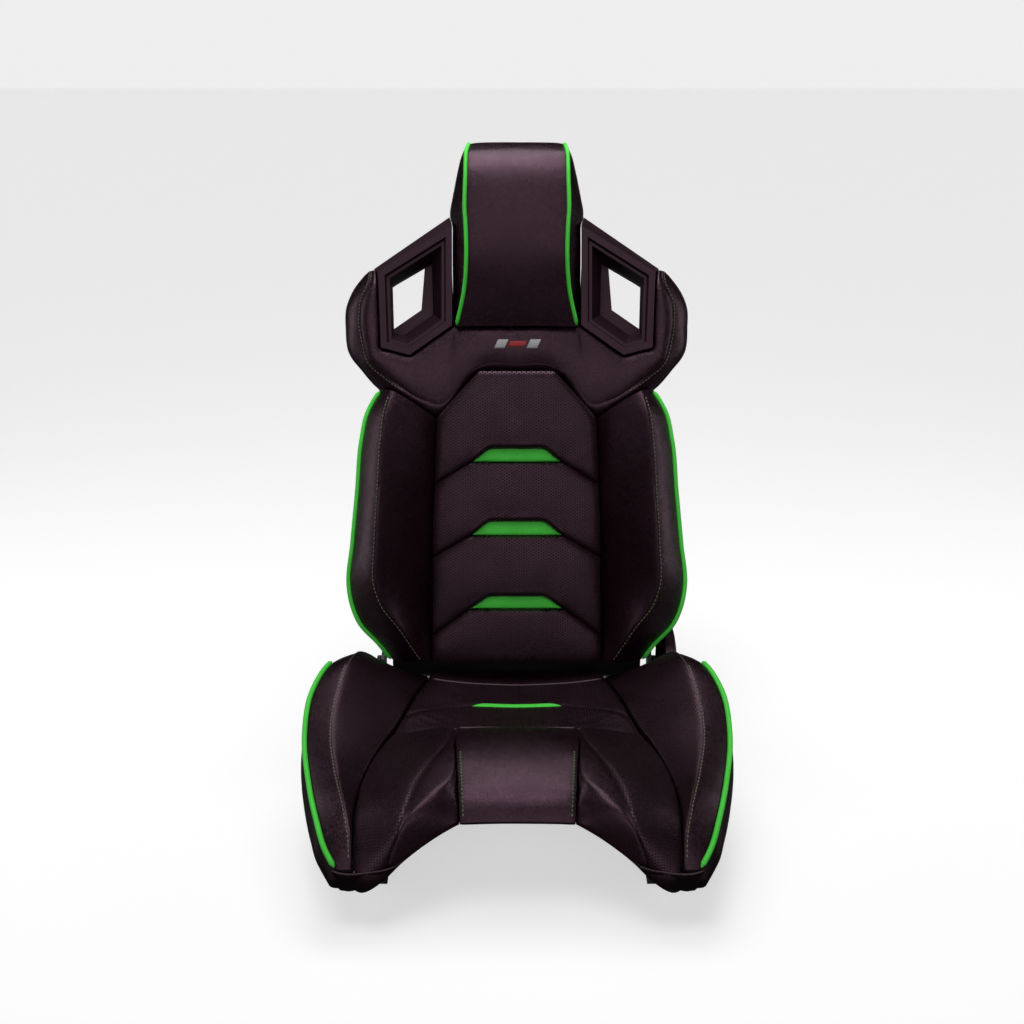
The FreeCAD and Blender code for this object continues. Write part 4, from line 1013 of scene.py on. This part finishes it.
def panel_grid(lines):
    """Points (x, s) in rows that follow the seams from the foot to the top edge."""
    a = np.linspace(-1, 1, 113)
    a = np.sign(a) * np.abs(a) ** 0.92
    steps = spread(34, 0.75)
    rows = []
    for low, high in zip(lines, lines[1:]):
        for t in steps if high is lines[-1] else steps[:-1]:
            w = HALF_WIDTH
            for _ in range(3):
                s = low(a * w) * (1 - t) + high(a * w) * t
                w = np.interp(s, *PANEL_WIDTH)
            rows.append(np.stack([a * w, s], axis=1))
    grid = np.array(rows)
    return grid[..., 0], grid[..., 1]


def edge_gap(x, s):
    """The distance in from the panel's sides."""
    return (1 - np.abs(x) / np.interp(s, *PANEL_WIDTH)) * HALF_WIDTH


def panel_relief(x, s, lines):
    """The panel's front, puffed between its seams and let in under the three inserts."""
    depth = panel_depth(x, s)
    for k, line in enumerate(lines):
        puff = 1 - groove((s - line(x)) * SLANT, 1.0, 16.0)
        depth += 3.2 * puff if 0 < k < 4 else 1.6 * puff
    for (xf, sf), chevron in zip(CHEVRON_FEET, lines[1:4]):
        top = chevron(x)
        rise = s - top
        arm, middle = np.abs(x) > xf, np.abs(x) < xf
        seam = groove(rise, 3.4, 2.6)
        depth -= np.where(arm, seam, seam * 0.9)
        depth += np.where((rise > 0) & ~arm, groove(rise - 4, 1.2, 5.0), 0)
        inside = (s > sf - 1.5) & (s < top + 0.5) & middle
        depth = np.where(inside, np.minimum(depth, panel_depth(x, s) - 1.5), depth)
        depth -= np.where(middle & (s <= sf), groove(s - sf, 2.6, 2.2), 0)
    depth -= groove(edge_gap(x, s), 4.5, 4.0)
    depth -= groove(s - lines[-1](x), 3.0, 4.0) + groove(s - PANEL_FOOT, 5.0, 7.0)
    calm = np.clip(depth - 50, 0, 8) / 8
    flat = np.stack([x, s, np.zeros_like(x)], axis=-1)
    return depth + wobble(flat, 0.7, 46.0, 30.5) * calm + wobble(flat, 0.25, 15.0, 33.5) * calm


def panel_free(x, s, lines):
    """Where the panel's cover is clear of its seams, edges and inserts."""
    gaps = [np.abs(s - line(x)) * SLANT for line in lines] + [edge_gap(x, s)]
    clear = np.min(gaps, axis=0) > FREE_OF_PANEL_SEAM
    for (xf, sf), chevron in zip(CHEVRON_FEET, lines[1:4]):
        clear &= ~((s > sf - 12) & (s < chevron(x) + 12) & (np.abs(x) < xf + 12))
    return clear


def back_accent(name, foot, chevron):
    """A coloured insert, slightly domed, under one chevron."""
    across = np.linspace(-1, 1, 61)
    xs = across * (foot[0] - 1.0)
    top = np.maximum(chevron(xs) - 1.2, foot[1] + 0.4)
    grid = []
    for t in np.linspace(0, 1, 13):
        ss = (foot[1] + 0.3) * (1 - t) + top * t
        dome = 2.2 * np.sqrt(np.clip(4 * t * (1 - t), 0, 1)) + 0.6 * (1 - np.abs(across) ** 4)
        grid.append(np.stack([xs, ss, panel_depth(xs, ss) + dome], axis=1))
    grid = np.array(grid)
    return slab(name, leaned(grid), leaned(grid - np.array([0, 0, 6.0])), "green", grid[..., :2])


def back_panel():
    lines = [soft_polyline([(0, PANEL_FOOT), (150, PANEL_FOOT)])]
    lines += [soft_polyline(chevron, 4.0) for chevron in CHEVRONS]
    lines += [soft_polyline(PANEL_TOP, 2.0)]
    x, s = panel_grid(lines)
    front = leaned(np.stack([x, s, panel_relief(x, s, lines)], axis=-1))
    rear = leaned(np.stack([x * 0.995, s, np.full_like(x, 0.8)], axis=-1))
    panel = slab("back_panel_cover", front, rear, "perforated", np.stack([x, s], axis=-1))
    ride(panel, "backrest", ["back_foam"])
    LOOSE.append((panel, front[panel_free(x, s, lines)]))
    for k, (foot, chevron) in enumerate(zip(CHEVRON_FEET, lines[1:4])):
        accent = back_accent(f"back_accent_cover_{k + 1}", foot, chevron)
        ride(accent, "backrest", ["back_accent_inserts"] if k == 0 else ())


def tail_flap():
    """A strip of backing cloth that closes the gap between the back panel and the cushion."""
    grid = []
    for s, d in ((30.5, 3.5), (24, 2.0), (16, -1.0), (8, -4.8), (2, -8.5)):
        ripple = 0.5 * (30.5 - s) / 28.0
        grid.append([(x, s, d + ripple * math.sin(x / 9.0)) for x in np.linspace(-190, 190, 191)])
    grid = np.array(grid)
    rear = leaned(grid - np.array([0, 0, 3.0]))
    flap = slab("back_tail_flap_cover", leaned(grid), rear, "backing", grid[..., :2])
    ride(flap, "backrest", replaces=["back_tail_flap"])


YOKE = [  # stations outward: inner edge (x, s, d), middle, seam, outer edge (x, s, d)
    ((0, 530.5, 60), (0, 500, 64.5), (0, 475, 62), (0, 463.5, 55)),
    ((45, 530.5, 60), (46, 500, 64), (48, 474, 61), (50, 463.5, 55)),
    ((84, 530.5, 57), (80, 492, 62), (74, 460, 61), (66, 454, 54)),
    ((96, 531, 55), (106, 470, 60), (112, 415, 58), (117, 397.5, 51)),
    ((127, 510, 55), (136, 462, 59), (145, 424, 58), (150, 414.5, 54)),
    ((159, 488.5, 55), (165, 464, 58), (168, 438, 57), (184, 436.5, 52)),
    ((182, 494, 55), (190, 476, 57), (196, 458, 55), (207, 441, 38)),
    ((202.5, 499.5, 55), (213, 487, 56), (220, 480, 53), (235, 471, 33)),
    ((204, 522, 55), (218, 514, 56), (229, 512, 52), (253, 496, 30)),
    ((205, 550, 55), (220, 546, 56), (233, 544, 51), (257.5, 535, 29)),
    ((206.5, 580, 54), (218, 576, 54.5), (230, 574, 49), (256, 566, 28)),
    ((207.5, 600, 50), (213, 601, 49), (220, 599, 45), (244, 593, 26)),
    ((210.5, 616, 40), (214.5, 617.5, 38), (219, 617.5, 35), (228.5, 613, 24)),
]


def shoulder_yoke():
    sections = []
    for inner, middle, seam, outer in YOKE:
        foot = [(x, s, 0.8) for x, s, _ in (outer, inner)]
        sections.append(leaned([inner, middle, seam, outer, *foot]))
    sections = [mirror_points(section) for section in sections[:0:-1]] + sections
    depth = [1.3] * 9 + [0.6, 0, 0, 0, 0, 0, 0.6] + [1.3] * 9
    pad = Pad(sections, [0, 2, 3, 4, 5], [26, 14, 10, 14, 8], 180, 41.9, crown={0: 0.6, 1: 1.5, 2: 1.5},
              seams={1: (depth, [0, 1]), 2: (2.2, [1]), 0: (2.2, [0])}, dense=0.0)
    cover = pad.piece("shoulder_yoke_cover", ["smooth"], ends=(2, 2), soft=(1,))
    ride(cover, "backrest", replaces=["shoulder_yoke"])
    line, out = pad.along(1, 4.0)
    size = {"pitch": 5.5, "length": 3.6, "radius": 0.6}
    for side, wing in (("left", line[:, 0] > 165), ("right", line[:, 0] < -165)):
        thread_run(f"wing_stitches_{side}", line[wing], out[wing], "backrest", **size)
    return pad


SATIN_PITCH, SATIN_RADIUS, SATIN_SIDES, SATIN_RINGS = 0.85, 0.46, 6, 9
ACROSS, FORWARD = np.array([1.0, 0, 0]), np.array([0, 0, 1.0])


def satin(name, pad, corner, size, slant, material):
    """A block of satin stitches sewn on the yoke: threads laid side by side, each arched over the cover."""
    face = unleaned(pad.grid[:, pad.starts[0]:pad.starts[2]].reshape(-1, 3))
    verts, faces = [], []
    for x in np.arange(corner[0], corner[0] + size[0], SATIN_PITCH):
        base = len(verts)
        for t in np.linspace(0, 1, SATIN_RINGS):
            px, ps = x + slant * t, corner[1] + size[1] * t
            lift = 0.25 + 0.75 * math.sin(math.pi * t) ** 0.5
            middle = np.array([px, ps, height_at(face, px, ps, 6, 0.05) + lift])
            verts += ring(middle, ACROSS, FORWARD, SATIN_RADIUS, SATIN_SIDES)
        skin(faces, base, SATIN_RINGS, SATIN_SIDES)
        close(faces, base, SATIN_RINGS, SATIN_SIDES)
    ride(make_object(name, leaned(np.array(verts)), faces, [material], smooth_angle=80), "backrest")


def emblem(pad):
    """A plain embroidered mark on the chest: two slanted bars and a lozenge."""
    satin("emblem_bar_outer", pad, (-33, 498), (15, 13), 6, "silver_thread")
    satin("emblem_lozenge", pad, (-13, 500.5), (24, 8), 4, "red_thread")
    satin("emblem_bar_inner", pad, (15, 498), (15, 13), 6, "silver_thread")


HEAD = [  # s, front half-width, rear half-width, forward reach
    (531, 90, 94.6, 64), (575, 78.5, 94.8, 78), (630, 73.5, 94.9, 92), (668, 74.2, 95, 95.5),
    (683, 75, 95.1, 96), (690, 75.6, 96, 96), (696, 76, 98.2, 96), (703, 76, 98.8, 96), (724, 75.6, 95.8, 95),
    (745, 75, 92, 92), (766, 74.8, 88, 86), (785, 74.5, 84, 76), (799, 72.5, 79.5, 56), (806, 71, 76, 43),
]


def headrest():
    sections = []
    for s, front, rear, reach in HEAD:
        wide = rear + 0.4
        half = [(0, s, reach + 3), (front * 0.5, s, reach + 2.5), (front, s, reach), (wide, s, 0.42 * reach),
                (wide, s, 0.8)]
        sections.append(leaned([(-x, s, d) for x, s, d in reversed(half)] + half[1:]))
    pad = Pad(sections, [0, 2, 6, 8], [28, 54, 28, 20], 96, 52.6, seams={1: (1.6, [0, 1]), 2: (1.6, [1, 2])})
    cover = pad.piece("headrest_cover", ["smooth"], ends=(1, 6), soft=(1,))
    ride(cover, "backrest", replaces=["headrest_foam"])
    for side, corner in (("left", 2), ("right", 1)):
        rim, out = pad.rail(corner)
        bead("headrest_piping", side, even(rim[1:-2] + out[1:-2] * 1.8, 5), 3.1, "backrest")


# ---------------------------------------------------------------- finishes of the frame
def both(*names):
    return [f"{name}_{side}" for name in names for side, _ in SIDES]


FINISH = {
    "paint": [*both("lower_rail", "recliner_bracket", "recliner_arm", "seat_side_tube"), "backrest_frame",
              "back_cross_tubes", "seat_cross_tubes", "slide_release_bar", "rail_spacers"],
    "zinc": [*both("upper_rail", "recliner_pawl", "slide_latch"), "rail_bolts", "arm_bolts", "pawl_pins",
             "latch_pivots", "recliner_bushes", "sync_rod"],
    "spring": [*both("recliner_spring"), "seat_springs", "lumbar_springs"],
    "glide": ["rail_glides"],
    "rubber": ["release_bar_grip"],
    "bezel": [*both("harness_bezel", "bezel_back"), "recliner_cover", "recline_lever"],
    "shell": ["back_shell"],
}


def finishes():
    for material, names in FINISH.items():
        for name in names:
            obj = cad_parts[name]
            obj.data.materials.clear()
            obj.data.materials.append(MATERIALS[material])


# ---------------------------------------------------------------- the set
def add(name, data):
    obj = bpy.data.objects.new(name, data)
    bpy.context.scene.collection.objects.link(obj)
    return obj


def facing(direction):
    """The rotation that points a light along a direction."""
    return Vector(direction).to_track_quat("-Z", "Y").to_euler()


def soft_light(name, place, target, size, power):
    data = bpy.data.lights.new(name, "AREA")
    data.shape = "RECTANGLE"
    data.size, data.size_y = size
    data.energy = power
    lamp = add(name, data)
    lamp.location = place
    lamp.rotation_euler = facing(Vector(target) - Vector(place))
    return lamp


FLOOR_REACH = 60.0
FLOOR_GLOW = 0.58
AMBIENT = 0.015
FRONT_GLOW, SUN, STRIP, OVERHEAD, BEHIND = 1.85, 0.9, 6.0, 10.0, 24.0


def paper_floor():
    """A pale floor that looks bright but throws little light back up at the seat."""
    r = FLOOR_REACH
    mesh = bpy.data.meshes.new("floor")
    mesh.from_pydata([(-r, -r, 0), (r, -r, 0), (r, r, 0), (-r, r, 0)], [], [(0, 1, 2, 3)])
    floor = add("floor", mesh)
    n = shader("floor_paper", (0.86, 0.86, 0.86), 0.9, specular=0.1)
    seen = n.new("LightPath").outputs["Is Camera Ray"]
    pale = n.mix(n.noise(3.0, 2.0), (0.59, 0.59, 0.59), (0.61, 0.61, 0.61))
    n.link(n.mix(seen, (0.12, 0.12, 0.12), pale), "Base Color")
    n.link(n.math("MULTIPLY", seen, FLOOR_GLOW), "Emission Strength")
    n.target.inputs["Emission Color"].default_value = (1, 1, 1, 1)
    mesh.materials.append(MATERIALS["floor_paper"])
    return floor


def surroundings():
    """A pale backdrop to look at, and a broad soft box ahead of the seat to light it."""
    world = bpy.data.worlds.new("studio")
    bpy.context.scene.world = world
    world.use_nodes = True
    sky = world.node_tree.nodes["Background"]
    n = Nodes(world.node_tree, sky)
    sky.inputs["Color"].default_value = (0.86, 0.86, 0.86, 1)
    aim = n.new("SeparateXYZ", {"Vector": n.coords.outputs["Generated"]})
    ahead = n.remap(aim.outputs["Y"], -0.60, -0.88, 0.0, 1.0, True)
    above = n.remap(aim.outputs["Z"], 0.06, 0.38, 0.0, 1.0, True)
    below = n.remap(aim.outputs["Z"], 0.62, 0.80, 1.0, 0.0, True)
    band = n.math("MULTIPLY", n.math("MULTIPLY", ahead, above), n.math("MULTIPLY", below, FRONT_GLOW))
    seen = n.new("LightPath").outputs["Is Camera Ray"]
    strength = n.new("Mix", {0: seen, 2: n.math("ADD", band, AMBIENT), 3: 1.0}, data_type="FLOAT")
    n.link(strength.outputs[0], "Strength")


def studio():
    floor = paper_floor()
    surroundings()
    sun = bpy.data.lights.new("sun", "SUN")
    sun.energy, sun.angle = SUN, math.radians(30)
    add("sun", sun).rotation_euler = facing((0.1, 0.22, -1.0))
    soft_light("side_left", (-2.1, 0.42, 0.95), (0, 0.2, 0.45), (0.5, 1.6), STRIP * 1.15)
    soft_light("side_right", (2.1, 0.42, 0.95), (0, 0.2, 0.45), (0.5, 1.6), STRIP)
    soft_light("overhead", (0, 0.40, 1.75), (0, 0.40, 0), (1.0, 0.95), OVERHEAD)
    behind = soft_light("behind", (0, 2.30, 0.20), (0, 0.30, 0.55), (1.8, 0.3), BEHIND)
    behind.visible_glossy = False
    unlit = bpy.data.collections.new("not_lit_from_behind")
    unlit.objects.link(floor)
    unlit.collection_objects[0].light_linking.link_state = "EXCLUDE"
    behind.light_linking.receiver_collection = unlit
    bpy.context.scene.view_settings.view_transform = "Standard"


def camera():
    data = bpy.data.cameras.new("view")
    data.sensor_width, data.lens = 36.0, 45.7
    cam = add("view", data)
    cam.location = (-0.007, -1.657, 1.026)
    cam.rotation_euler = (math.radians(71), 0, 0)
    bpy.context.scene.camera = cam


camera()
studio()
cushion_bolsters()
thighs = thigh_pads()
tip_valances()
front_pad()
cushion_centre(thighs)
back_bolsters()
back_panel()
tail_flap()
emblem(shoulder_yoke())
headrest()
finishes()
inflate()
